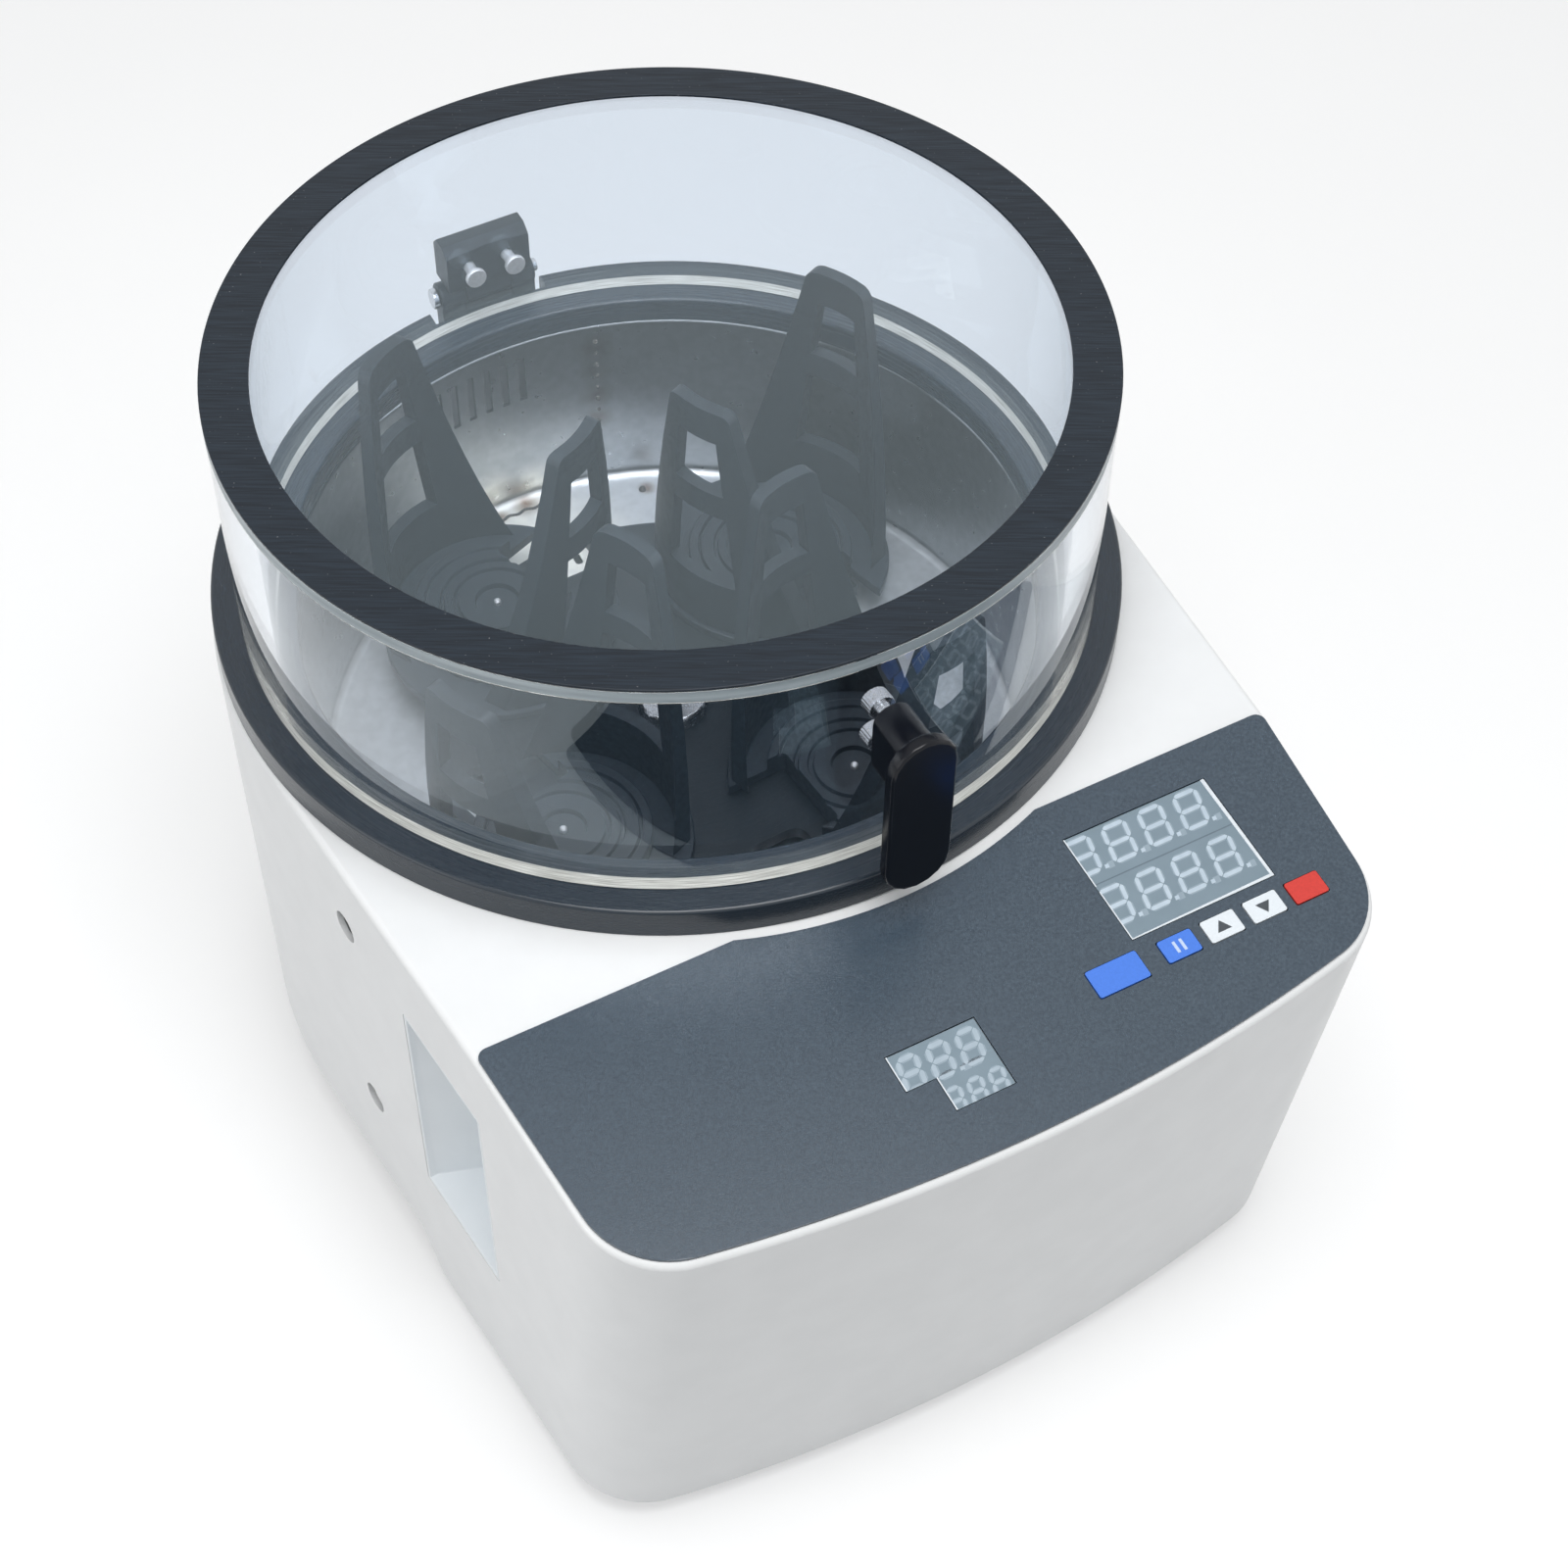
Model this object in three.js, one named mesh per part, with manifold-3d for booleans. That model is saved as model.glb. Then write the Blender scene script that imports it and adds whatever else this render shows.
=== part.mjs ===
// Planetary ball mill for a bench: a sun wheel carries four geared planet seats round a steel bowl,
// under a hinged clear lid, in a white sheet housing with a sloped console.
// Millimetres, +Z up, -Y to the front. Pieces are laid out with the sun wheel's axis on the Z axis and the feet
// on z = 0; at the end the whole is moved so that the origin is the middle of the footprint.

import * as THREE from "three";
import { mergeVertices } from "three/addons/utils/BufferGeometryUtils.js";
import Module from "manifold-3d";

const wasm = await Module();
wasm.setup();

const radians = THREE.MathUtils.degToRad;

// Clearances and counts
const gap = 0.3; // between pieces that rest on or pass through each other
const overrun = 20; // how far a cutter reaches past the piece that it cuts
const bigRound = 60; // sides of a large round
const midRound = 32; // sides of a wheel or a seat
const smallRound = 16; // sides of a screw, pin or shaft
const stations = 4;

// Driving sizes
const topHeight = 217; // flat top above the bench
const rearRadius = 161; // half-drum at the rear
const lidRise = 107.5; // top of the lid above the flat top
const consoleDepth = 104; // from the bend to the front edge, in plan
const consoleSlope = 6.35; // degrees
const sideTaper = 4.5; // degrees that each side turns in towards the front
const slope = radians(consoleSlope);
const taper = radians(sideTaper);

// Housing
const sheet = 2; // steel sheet
const bendInset = 7; // the bend lies this far inside the drum's radius
const bendFront = rearRadius - bendInset;
const frontReach = bendFront + consoleDepth; // front edge of the console
const frontBow = 650; // radius of the bowed front in plan
const cornerRadius = 32; // upright front corners
const frontHem = 12; // lower edge of the front part
const rearHem = 28; // lower edge of the rear part
const hemFront = 104; // the hem rises from here
const hemRise = 14; // over this length
const sideHoleRadius = 6;
const sideHoleBack = 65; // both holes lie this far in front of the axis
const sideHoleDrop = 33; // upper hole under the flat top
const sideHoleHigh = topHeight - sideHoleDrop;
const sideHolePitch = 103;

// Pocket in the left side wall
const pocketAhead = 1; // pocket's front edge ahead of the bend
const pocketFront = bendFront + pocketAhead;
const pocketLong = 51;
const pocketBack = pocketFront - pocketLong;
const pocketTall = 101;
const pocketDrop = 36;
const pocketHigh = topHeight - pocketDrop;
const pocketLow = pocketHigh - pocketTall;
const pocketDepth = 24;
const pocketRim = 3; // straight part of the pan's sides, inside the wall
const pocketTaper = 8.5; // the pan's sides come in by this much towards its back
const pocketSheet = 1.5;

// Base plate and feet
const plateThick = 3;
const rearInset = 18; // base plate set in from the drum above it
const footHeight = 11.7;
const footRadius = 17;
const footTaper = 2; // the foot narrows by this much towards the bench
const footMargin = 1.5; // plate outside a rear foot
const footOrbit = rearRadius - rearInset - footRadius - footMargin;
const footRear = footOrbit * Math.SQRT1_2;
const footFrontInset = 63;
const footFront = frontReach - footFrontInset;
const footSideInset = 53;
const footFrontSpread = rearRadius - footSideInset;

// Ring and bowl
const ringInset = 1;
const ringRadius = rearRadius - ringInset;
const ringWide = 28;
const ringBore = ringRadius - ringWide; // the ring's bore and the bowl's bore
const ringHeight = 12; // ring's top above the flat top
const ringChamfer = 1.2;
const notchHalf = 24; // half width of the hinge notch in the ring
const bowlSheet = 1.5;
const bowlLip = 14; // width of the bowl's flange under the ring
const bowlDeep = 78; // floor under the flat top
const bowlFloorHeight = topHeight - bowlDeep; // upper face of the floor
const bowlFloorThick = 2;
const wallSlots = 7;
const wallSlotPitch = 3.2; // degrees
const wallSlotFirst = 88; // degrees
const wallSlotWide = 2.6;
const wallSlotDrop = 6;
const wallSlotTall = 19;
const wallSlotTop = topHeight - wallSlotDrop;
const wallSlotLow = wallSlotTop - wallSlotTall;
const floorSlots = 12;
const floorSlotPitch = 5; // degrees
const floorSlotFirst = 57; // degrees
const floorSlotWide = 3;
const floorSlotInset = 24;
const floorSlotOuter = ringBore - floorSlotInset;
const floorSlotLong = 11;
const floorSlotInner = floorSlotOuter - floorSlotLong;

// Lid
const lidInset = 9.5; // lid's wall inside the ring's edge
const lidRadius = ringRadius - lidInset;
const lidWall = 10;
const lidHeight = topHeight + lidRise; // top of the band above the bench
const discThick = 4.4;
const bandThick = 0.9;
const bandWide = 16.3;
const bandBore = lidRadius - bandWide;
const notchSlack = 0.5;
const notchRadius = lidRadius + notchSlack; // the notch cuts the ring outside this radius

// Handle
const handleStandoff = 21.5;
const handleReach = lidRadius + handleStandoff; // front face of the handle's plate
const plateWide = 23.4;
const plateTall = 69.5;
const plateDeep = 5;
const plateDrop = 23.5;
const plateTop = lidHeight - plateDrop;
const postWide = 13.5;
const postTall = 29.5;
const postDrop = 2;
const postTop = plateTop - postDrop;
const handleScrewPitch = 15;
const screwRadius = 2.3;
const knurlRadius = 4.6; // knurled head inside the lid
const knurlDeep = 5;
const knurlSides = 24;
const screwSocket = 1.7;

// Hinge
const pinStandoff = 6.5; // pin outside the lid's wall
const pinBack = lidRadius + pinStandoff;
const pinRise = 19; // pin above the flat top
const pinHeight = topHeight + pinRise;
const pinRadius = 2.5;
const pinHead = 4;
const pinHeadDeep = 2.5;
const knuckleRadius = 5.5;
const knuckleSplit = 10; // half width of the middle knuckle's slot
const leafHalf = 20; // half width of the hinge
const leafBlockHalf = 17.5;
const leafRise = 25;
const leafTop = pinHeight + leafRise;
const leafBehind = 6;
const leafBack = pinBack + leafBehind;
const leafChamfer = 7;
const leafFootBehind = 3;
const leafFootBack = pinBack + leafFootBehind;
const leafFootAhead = 4.5;
const leafFootFront = pinBack - leafFootAhead;
const leafFootThick = 4;
const webClear = 0.9; // between the base's web and the middle knuckle
const leafScrewHalf = 8;
const leafScrewDrop = 10;
const leafScrewHeight = leafTop - leafScrewDrop;
const nutRadius = 4.4;
const nutDeep = 5;

// Sun wheel, gears and shaft
const moduleShare = 1 / 66; // of the ring's bore
const gearModule = ringBore * moduleShare;
const sunTeeth = 24;
const idlerTeeth = 20;
const planetTeeth = 12;
const gearThick = 5;
const gearAboveFloor = 2;
const toothBacklash = 0.35; // taken off a tooth's width on the pitch circle
const addendumShare = 0.85; // of the module
const dedendumShare = 1.2;
const pitchRadius = (teeth) => (gearModule * teeth) / 2;
const sunRadius = pitchRadius(sunTeeth);
const idlerRadius = pitchRadius(idlerTeeth);
const planetGearRadius = pitchRadius(planetTeeth);
const idlerOrbit = sunRadius + idlerRadius;
const planetOrbit = idlerOrbit + idlerRadius + planetGearRadius;
const stationAngle = 32.5; // degrees, first station from +X
const wheelEdge = 18; // wheel outside a planet's axis
const wheelRadius = planetOrbit + wheelEdge;
const wheelThick = 5;
const wheelLift = 1; // wheel above the gears
const shaftRadius = 10;
const shaftNeck = 8;
const wheelNutRadius = 13;
const wheelNutHigh = 6;
const idlerPinRadius = 5;
const neckInset = 4;
const bowlNeck = sunRadius - neckInset; // hole for the gear's hub

// Planet seats and uprights
const seatClear = 10; // between a seat and the bowl
const seatRadius = ringBore - seatClear - planetOrbit;
const seatLift = 1.5; // seat above the wheel
const seatThick = 4;
const platformShare = 0.739; // of the seat's radius
const platformRadius = seatRadius * platformShare;
const platformHigh = 5.5;
const grooveShares = [0.853, 0.588]; // of the platform's radius
const grooveWide = 1.6;
const grooveDeep = 1.6;
const dishShare = 0.3235; // of the platform's radius
const dishDeep = 1.8;
const seatScrewRadius = 4;
const seatScrewHigh = 2.6;
const planetShaftRadius = 7;
const uprightThick = 5;
const uprightEdge = 1.5; // seat outside an upright
const uprightInner = seatRadius - uprightEdge - uprightThick;
const uprightRise = 50; // uprights' tops above the flat top
const uprightTop = topHeight + uprightRise;
const uprightFootHalf = 53; // degrees that the foot spans to each side
const uprightTipHalf = 17.5; // degrees at the tip
const uprightCorner = 4;
const windowSplayShare = 0.5; // window's width as a share of the plate's
const windowLevelShares = [
  [0.22, 0.54],
  [0.64, 0.87],
];
const pairTurns = [-8.5, -2, -9.5, -20]; // degrees that each pair stands turned from the radius

// Bearing housing and deck
const deckHalf = 89.5;
const deckCorner = 20;
const deckThick = 6.5;
const pillarHalf = 74; // pillars stand this far out in X and Y
const pillarRadius = 9;
const barrelRadius = 30;
const barrelDrop = 49;
const barrelLow = bowlFloorHeight - barrelDrop;
const barrelBore = 23.5;
const barrelLid = 8; // thickness left above the upper bearing
const flangeRadius = 44.5;
const flangeThick = 9;
const bearingWide = 14;
const bearingGroove = 1.2;

// Belt drive
const pulleyDrop = 26;
const pulleyLow = barrelLow - pulleyDrop;
const pulleyFace = 16;
const pulleyFlange = 2;
const rimHigh = 4; // pulley's flanges above the belt's path
const drivenRadius = 55;
const drivenWeb = 8;
const motorPulleyRadius = 22;
const beltThick = 3;
const beltWide = 13;
const motorAhead = 47.5;
const motorFront = ringBore + motorAhead; // motor's axis in front of the wheel's axis
const motorRadius = 41;
const motorDrop = 31;
const motorTop = topHeight - motorDrop;
const motorLift = 26.3; // motor above the pulleys' undersides
const motorFoot = pulleyLow + motorLift;
const motorFins = 12;
const motorFinDeep = 2.5;
const motorFinWide = 5;
const motorShaft = 6;
const motorCap = 14; // smooth band at each end of the motor
const bracketHalfWide = 54;
const bracketHalfDeep = 44;
const bracketThick = 3.7;
const bracketToe = 12;

// Console: columns are placed from the drum's width, rows by shares of its length down the slope
const consoleLength = consoleDepth / Math.cos(slope);
const overlayMargin = 1.8;
const overlayThick = 1;
const overlayRearCorner = 4;
const ringMargin = 5; // bare sheet between the ring and the overlay
const keyLong = 12.8;
const keyDeepShare = 0.0812;
const keyDeep = consoleLength * keyDeepShare;
const menuLong = 19.2;
const menuDeepShare = 0.0994;
const menuDeep = consoleLength * menuDeepShare;
const keyProud = 0.35;
const keyTravel = 0.5;
const keySlack = 0.3;
const keyRowShare = 0.6327;
const keyRow = -consoleLength * keyRowShare; // middle of the key row, down the console from the bend
const keyCorner = 0.8;
const keyPitch = 16.7;
const menuPitch = 23.7;
const lastKeyInset = 39.7; // last key's middle inside the drum's radius
const lastKey = rearRadius - lastKeyInset;
const keyColumns = {
  key_menu: lastKey - 3 * keyPitch - menuPitch,
  key_pause: lastKey - 3 * keyPitch,
  key_up: lastKey - 2 * keyPitch,
  key_down: lastKey - keyPitch,
  key_run_stop: lastKey,
};
const screenInset = 46.4;
const screenWide = 55.8;
const screenRight = rearRadius - screenInset;
const screenLeft = screenRight - screenWide;
const screenShares = [0.1405, 0.5476]; // rear and front edge
const [screenRear, screenFront] = screenShares.map((share) => -consoleLength * share);
const thermoRight = -2.2;
const thermoNarrow = 21.4; // width of the lower part
const thermoWide = 32.3;
const thermoNotch = thermoRight - thermoNarrow;
const thermoLeft = thermoRight - thermoWide;
const thermoShares = [0.5629, 0.689, 0.8095]; // rear edge, step and front edge
const [thermoRear, thermoMiddle, thermoFront] = thermoShares.map((share) => -consoleLength * share);
const screenSunk = 0.25; // screens lie this far under the overlay's face
const windowSlack = 3; // sheet window round the screens and keys
const boardDepth = 7.6; // board's face under the sheet's outer face
const boardThick = 1.6;
const boardEdge = 8;
const standoffRadius = 3;

// Mains side
const inletBack = 40; // in front of the wheel's axis, on the right side wall
const inletHeight = 62;
const inletWide = 50;
const inletTall = 28;
const inletDeep = 24;
const inletFlange = 5;
const inletFlangeThick = 2;
const socketWide = 22;
const socketTall = 16;
const socketDeep = 15;
const socketOff = -11; // socket's middle from the inlet's middle, along the wall
const rockerOff = 15;
const rockerWide = 12;
const rockerTall = 19;
const rockerProud = 2.4;
const rockerDeep = 8;
const rockerTilt = 8; // degrees to each side of level
const driveInset = 37; // drive unit inside the drum's radius
const driveClear = 4; // between the motor's bracket and the drive unit
const driveLeft = rearRadius - driveInset;
const driveRight = bracketHalfWide + bracketToe + driveClear;
const driveAhead = 8; // drive unit ahead of the bowl
const driveRear = ringBore + driveAhead;
const driveLong = 72;
const driveFront = driveRear + driveLong;
const driveHigh = 99;
const driveFins = 6;
const driveFinWide = 4;
const driveFinDeep = 8;

// Solids: closed meshes joined and cut

/** Returns the solid of a closed geometry. */
function solidOf(geometry) {
  const flat = geometry.index ? geometry.toNonIndexed() : geometry;
  const bare = new THREE.BufferGeometry();
  bare.setAttribute("position", flat.getAttribute("position"));
  const merged = mergeVertices(bare);
  return new wasm.Manifold(
    new wasm.Mesh({
      numProp: 3,
      vertProperties: merged.attributes.position.array,
      triVerts: new Uint32Array(merged.index.array),
    }),
  );
}

/** Returns the geometry of a solid, with flat shading normals. */
function geometryOf(solid) {
  const mesh = solid.getMesh();
  const geometry = new THREE.BufferGeometry();
  geometry.setAttribute("position", new THREE.BufferAttribute(mesh.vertProperties, mesh.numProp));
  geometry.setIndex(new THREE.BufferAttribute(mesh.triVerts, 1));
  geometry.computeVertexNormals();
  return geometry;
}

const joined = (first, ...rest) => rest.reduce((sum, next) => sum.add(next), first);
const cut = (first, ...cutters) => cutters.reduce((rest, cutter) => rest.subtract(cutter), first);

/** A block between two corners. */
function block(left, right, front, rear, low, high) {
  const box = new THREE.BoxGeometry(right - left, rear - front, high - low);
  box.translate((left + right) / 2, (front + rear) / 2, (low + high) / 2);
  return solidOf(box);
}

/** A solid of revolution about Z from points [radius, height], listed anticlockwise. */
function turned(profile, sides) {
  const closed = [...profile, profile[0]];
  const points = closed.map(([radius, height]) => new THREE.Vector2(radius, height));
  const lathe = new THREE.LatheGeometry(points, sides);
  lathe.rotateX(Math.PI / 2);
  return solidOf(lathe);
}

const disc = (radius, low, high, sides) =>
  turned([[0, low], [radius, low], [radius, high], [0, high]], sides);
const tube = (bore, radius, low, high, sides) =>
  turned([[bore, low], [radius, low], [radius, high], [bore, high]], sides);

/** A flat outline of Vector2 points raised between two heights. */
function raised(outline, low, high, holes = []) {
  const shape = new THREE.Shape(outline);
  shape.holes = holes.map((hole) => new THREE.Path(hole));
  const geometry = new THREE.ExtrudeGeometry(shape, { depth: high - low, bevelEnabled: false });
  geometry.translate(0, 0, low);
  return solidOf(geometry);
}

/** Points of an arc round a centre, ends included; angles in degrees. */
function arc(x, y, radius, from, to, steps) {
  return Array.from({ length: steps + 1 }, (_, i) => {
    const angle = radians(from + ((to - from) * i) / steps);
    return new THREE.Vector2(x + radius * Math.cos(angle), y + radius * Math.sin(angle));
  });
}

/** A rectangle with round corners. */
function roundedOutline(left, right, front, rear, corner, steps = 4) {
  return [
    ...arc(right - corner, rear - corner, corner, 0, 90, steps),
    ...arc(left + corner, rear - corner, corner, 90, 180, steps),
    ...arc(left + corner, front + corner, corner, 180, 270, steps),
    ...arc(right - corner, front + corner, corner, 270, 360, steps),
  ];
}

/** A stadium standing upright: width in X, height in Y, its top at a given height. */
function stadium(width, height, top, steps = 8) {
  const end = width / 2;
  return [
    ...arc(0, top - end, end, 0, 180, steps),
    ...arc(0, top - height + end, end, 180, 360, steps),
  ];
}

/** Turns a solid raised along Z so that its outline stands in the XZ plane, from rear to front. */
const standing = (solid) => solid.rotate([90, 0, 0]);

const placed = (solid, matrix) => solid.transform(matrix.elements);

// The housing's outline in plan

const consoleEdgeHeight = topHeight - (frontReach - bendFront) * Math.tan(slope);
const frontAt = (height) => frontReach - (consoleEdgeHeight - height) * Math.tan(slope);

/** The front corner's centre, where its circle touches both the side and the bowed front. */
function cornerCentre(reach) {
  const inner = (rearRadius - cornerRadius) / Math.cos(taper);
  const lean = Math.tan(taper);
  const bowCentre = frontBow - reach;
  const spread = frontBow - cornerRadius;
  const a = 1 + lean * lean;
  const b = inner * lean - bowCentre;
  const c = inner * inner + bowCentre * bowCentre - spread * spread;
  const y = (-b - Math.sqrt(b * b - a * c)) / a;
  return new THREE.Vector2(inner + lean * y, y);
}

/** The housing's outline for a front that reaches this far, set in by a wall. */
function plan(reach, inset) {
  const centre = cornerCentre(reach);
  const bowCentre = frontBow - reach;
  const corner = cornerRadius - inset;
  const turn = THREE.MathUtils.radToDeg(Math.atan2(centre.y - bowCentre, centre.x));
  return [
    ...arc(0, 0, rearRadius - inset, -sideTaper, 180 + sideTaper, bigRound / 2),
    ...arc(-centre.x, centre.y, corner, 180 + sideTaper, 180 - turn, 6),
    ...arc(0, bowCentre, frontBow - inset, 180 - turn, 360 + turn, 10).slice(1, -1),
    ...arc(centre.x, centre.y, corner, 360 + turn, 360 - sideTaper, 6),
  ];
}

/** A solid between two outlines of equally many points at two heights. */
function loft(lower, upper, low, high) {
  const count = lower.length;
  const positions = [];
  for (const point of lower) positions.push(point.x, point.y, low);
  for (const point of upper) positions.push(point.x, point.y, high);
  const index = [];
  for (let i = 0; i < count; i += 1) {
    const next = (i + 1) % count;
    index.push(i, next, count + next, i, count + next, count + i);
  }
  for (const [a, b, c] of THREE.ShapeUtils.triangulateShape(lower, [])) index.push(a, c, b);
  for (const [a, b, c] of THREE.ShapeUtils.triangulateShape(upper, [])) {
    index.push(count + a, count + b, count + c);
  }
  const geometry = new THREE.BufferGeometry();
  geometry.setAttribute("position", new THREE.Float32BufferAttribute(positions, 3));
  geometry.setIndex(index);
  return solidOf(geometry);
}

/** The housing's body set in by a wall, between two heights. */
function housingBody(inset, low, high) {
  return loft(plan(frontAt(low), inset), plan(frontAt(high), inset), low, high);
}

// Frames that tilted pieces are laid out in

/** The console's frame: origin on the bend, Y up the slope, Z square to the sheet. */
const consoleFrame = new THREE.Matrix4()
  .makeRotationX(slope)
  .setPosition(0, -bendFront, topHeight);

/** A side wall's frame: origin on the wall, X out of the wall, Y to the rear. */
function wallFrame(side, front, height) {
  const reach = rearRadius / Math.cos(taper) - front * Math.tan(taper);
  const turn = side > 0 ? -taper : Math.PI + taper;
  return new THREE.Matrix4().makeRotationZ(turn).setPosition(side * reach, -front, height);
}

const consoleDrop = -(frontReach - bendFront) / Math.cos(slope);

// Housing

function housingShell() {
  const outer = housingBody(0, frontHem, topHeight);
  const inner = housingBody(sheet, frontHem - overrun, topHeight - sheet);
  const wide = rearRadius + overrun;
  const above = block(-wide, wide, 2 * consoleDrop, 0, 0, rearRadius);
  const slant = placed(above, consoleFrame);
  const slantInside = placed(above.translate([0, 0, -sheet]), consoleFrame);
  const shell = cut(outer.subtract(slant), inner.subtract(slantInside));
  const lift = [
    new THREE.Vector2(-hemFront, frontHem - overrun),
    new THREE.Vector2(rearRadius + overrun, frontHem - overrun),
    new THREE.Vector2(rearRadius + overrun, rearHem),
    new THREE.Vector2(hemRise - hemFront, rearHem),
    new THREE.Vector2(-hemFront, frontHem),
  ];
  const raisedHem = raised(lift, -wide, wide).rotate([90, 0, 90]);
  const mouth = disc(ringBore + bowlSheet + windowSlack, topHeight - overrun, topHeight + overrun, bigRound);
  const holes = [sideHoleHigh, sideHoleHigh - sideHolePitch].map((height) =>
    disc(sideHoleRadius, -wide, wide, smallRound).rotate([0, 90, 0]).translate([0, -sideHoleBack, height]),
  );
  return cut(
    shell,
    raisedHem,
    mouth,
    ...holes,
    placed(pocketBlock(overrun), pocketFrame),
    placed(inletBlock(gap, overrun), inletFrame),
    ...consoleWindows(),
  );
}

// Pocket in the left wall

const pocketFrame = wallFrame(-1, (pocketFront + pocketBack) / 2, (pocketLow + pocketHigh) / 2);
const pocketHalf = (pocketFront - pocketBack) / 2;
const pocketTallHalf = (pocketHigh - pocketLow) / 2;

function pocketBlock(out) {
  return block(-pocketDepth, out, -pocketHalf, pocketHalf, -pocketTallHalf, pocketTallHalf);
}

/** The pan's outline in plan, its sides coming in behind a straight rim. */
function pocketPlan(inset, back, out) {
  const half = pocketHalf - inset;
  const narrow = half - pocketTaper;
  const side = [
    new THREE.Vector2(out, half),
    new THREE.Vector2(-pocketRim, half),
    new THREE.Vector2(-back, narrow),
  ];
  const mirrored = side.map((point) => new THREE.Vector2(point.x, -point.y)).reverse();
  return [...side, ...mirrored];
}

function pocketPan() {
  const tall = pocketTallHalf - gap;
  const inner = tall - pocketSheet;
  const outer = raised(pocketPlan(gap, pocketDepth, 0), -tall, tall);
  const hollow = raised(pocketPlan(gap + pocketSheet, pocketDepth - pocketSheet, overrun), -inner, inner);
  return cut(outer, hollow);
}

// Base plate, feet, deck

const plateLow = footHeight + gap;
const plateHigh = plateLow + plateThick;

function basePlate() {
  const wide = rearRadius + overrun;
  const front = housingBody(sheet + gap, plateLow, plateHigh);
  const rear = housingBody(rearInset, plateLow, plateHigh);
  const frontHalf = block(-wide, wide, -frontReach - overrun, -hemFront, 0, topHeight);
  return joined(front.intersect(frontHalf), rear);
}

function foot() {
  return turned(
    [
      [0, 0],
      [footRadius - footTaper, 0],
      [footRadius, footHeight],
      [0, footHeight],
    ],
    midRound / 2,
  );
}

const floorLow = bowlFloorHeight - bowlFloorThick;
const deckHigh = floorLow - gap;
const deckLow = deckHigh - deckThick;

function deckFrame() {
  const outline = roundedOutline(-deckHalf, deckHalf, -deckHalf, deckHalf, deckCorner);
  const bore = arc(0, 0, barrelRadius + gap, 360, 0, midRound).slice(1);
  const deck = raised(outline, deckLow, deckHigh, [bore]);
  const pillars = [];
  for (const x of [-pillarHalf, pillarHalf]) {
    for (const y of [-pillarHalf, pillarHalf]) {
      const pillar = disc(pillarRadius, plateHigh + gap, deckLow + deckThick / 2, smallRound);
      pillars.push(pillar.translate([x, y, 0]));
    }
  }
  return joined(deck, ...pillars);
}

function bearingHousing() {
  const flangeHigh = deckLow - gap;
  const ledge = deckHigh - barrelLid;
  return turned(
    [
      [barrelBore, barrelLow],
      [barrelRadius, barrelLow],
      [barrelRadius, flangeHigh - flangeThick],
      [flangeRadius, flangeHigh - flangeThick],
      [flangeRadius, flangeHigh],
      [barrelRadius, flangeHigh],
      [barrelRadius, deckHigh],
      [shaftRadius + 2 * gap, deckHigh],
      [shaftRadius + 2 * gap, ledge],
      [barrelBore, ledge],
    ],
    midRound,
  );
}

function mainBearing(low) {
  const bore = shaftRadius + gap;
  const radius = barrelBore - gap;
  const third = (radius - bore) / 3;
  const high = low + bearingWide;
  return turned(
    [
      [bore, low],
      [radius, low],
      [radius, high],
      [radius - third, high],
      [radius - third, high - bearingGroove],
      [bore + third, high - bearingGroove],
      [bore + third, high],
      [bore, high],
    ],
    midRound,
  );
}

// Ring and bowl

const lipHeight = topHeight + gap + bowlSheet;
const lipRadius = ringBore + bowlLip;

function baseRing() {
  const top = topHeight + ringHeight;
  const ring = turned(
    [
      [lipRadius + gap, topHeight + gap],
      [ringRadius, topHeight + gap],
      [ringRadius, top - ringChamfer],
      [ringRadius - ringChamfer, top],
      [ringBore, top],
      [ringBore, lipHeight + gap],
      [lipRadius + gap, lipHeight + gap],
    ],
    bigRound,
  );
  const notch = block(-notchHalf, notchHalf, notchRadius, ringRadius + overrun, 0, top + overrun);
  return cut(ring, notch);
}

/** One slot, laid out along X from the inner to the outer end, turned to its angle. */
function slotCutter(inner, outer, width, low, high, angle) {
  return block(inner, outer, -width / 2, width / 2, low, high).rotate([0, 0, angle]);
}

function bowl() {
  const outer = ringBore + bowlSheet;
  const body = turned(
    [
      [bowlNeck, floorLow],
      [outer, floorLow],
      [outer, lipHeight - bowlSheet],
      [lipRadius, lipHeight - bowlSheet],
      [lipRadius, lipHeight],
      [ringBore, lipHeight],
      [ringBore, bowlFloorHeight],
      [bowlNeck, bowlFloorHeight],
    ],
    bigRound,
  );
  const cutters = [];
  for (let i = 0; i < wallSlots; i += 1) {
    const angle = wallSlotFirst + i * wallSlotPitch;
    const start = ringBore - windowSlack;
    cutters.push(slotCutter(start, outer + windowSlack, wallSlotWide, wallSlotLow, wallSlotTop, angle));
  }
  for (let i = 0; i < floorSlots; i += 1) {
    const angle = floorSlotFirst + i * floorSlotPitch;
    const low = floorLow - overrun;
    const high = bowlFloorHeight + bowlFloorThick;
    cutters.push(slotCutter(floorSlotInner, floorSlotOuter, floorSlotWide, low, high, angle));
  }
  return cut(body, ...cutters);
}

// Gears

const gearLow = bowlFloorHeight + gearAboveFloor;
const gearHigh = gearLow + gearThick;

/** Half the angle that an involute tooth fills at a radius, in degrees. */
function toothHalfAngle(teeth, radius) {
  const pitch = pitchRadius(teeth);
  const pressure = radians(20);
  const involute = (angle) => Math.tan(angle) - angle;
  const base = pitch * Math.cos(pressure);
  const here = radius > base ? Math.acos(base / radius) : 0;
  const width = (Math.PI * gearModule) / 2 - toothBacklash;
  return THREE.MathUtils.radToDeg(width / (2 * pitch) + involute(pressure) - involute(here));
}

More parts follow.
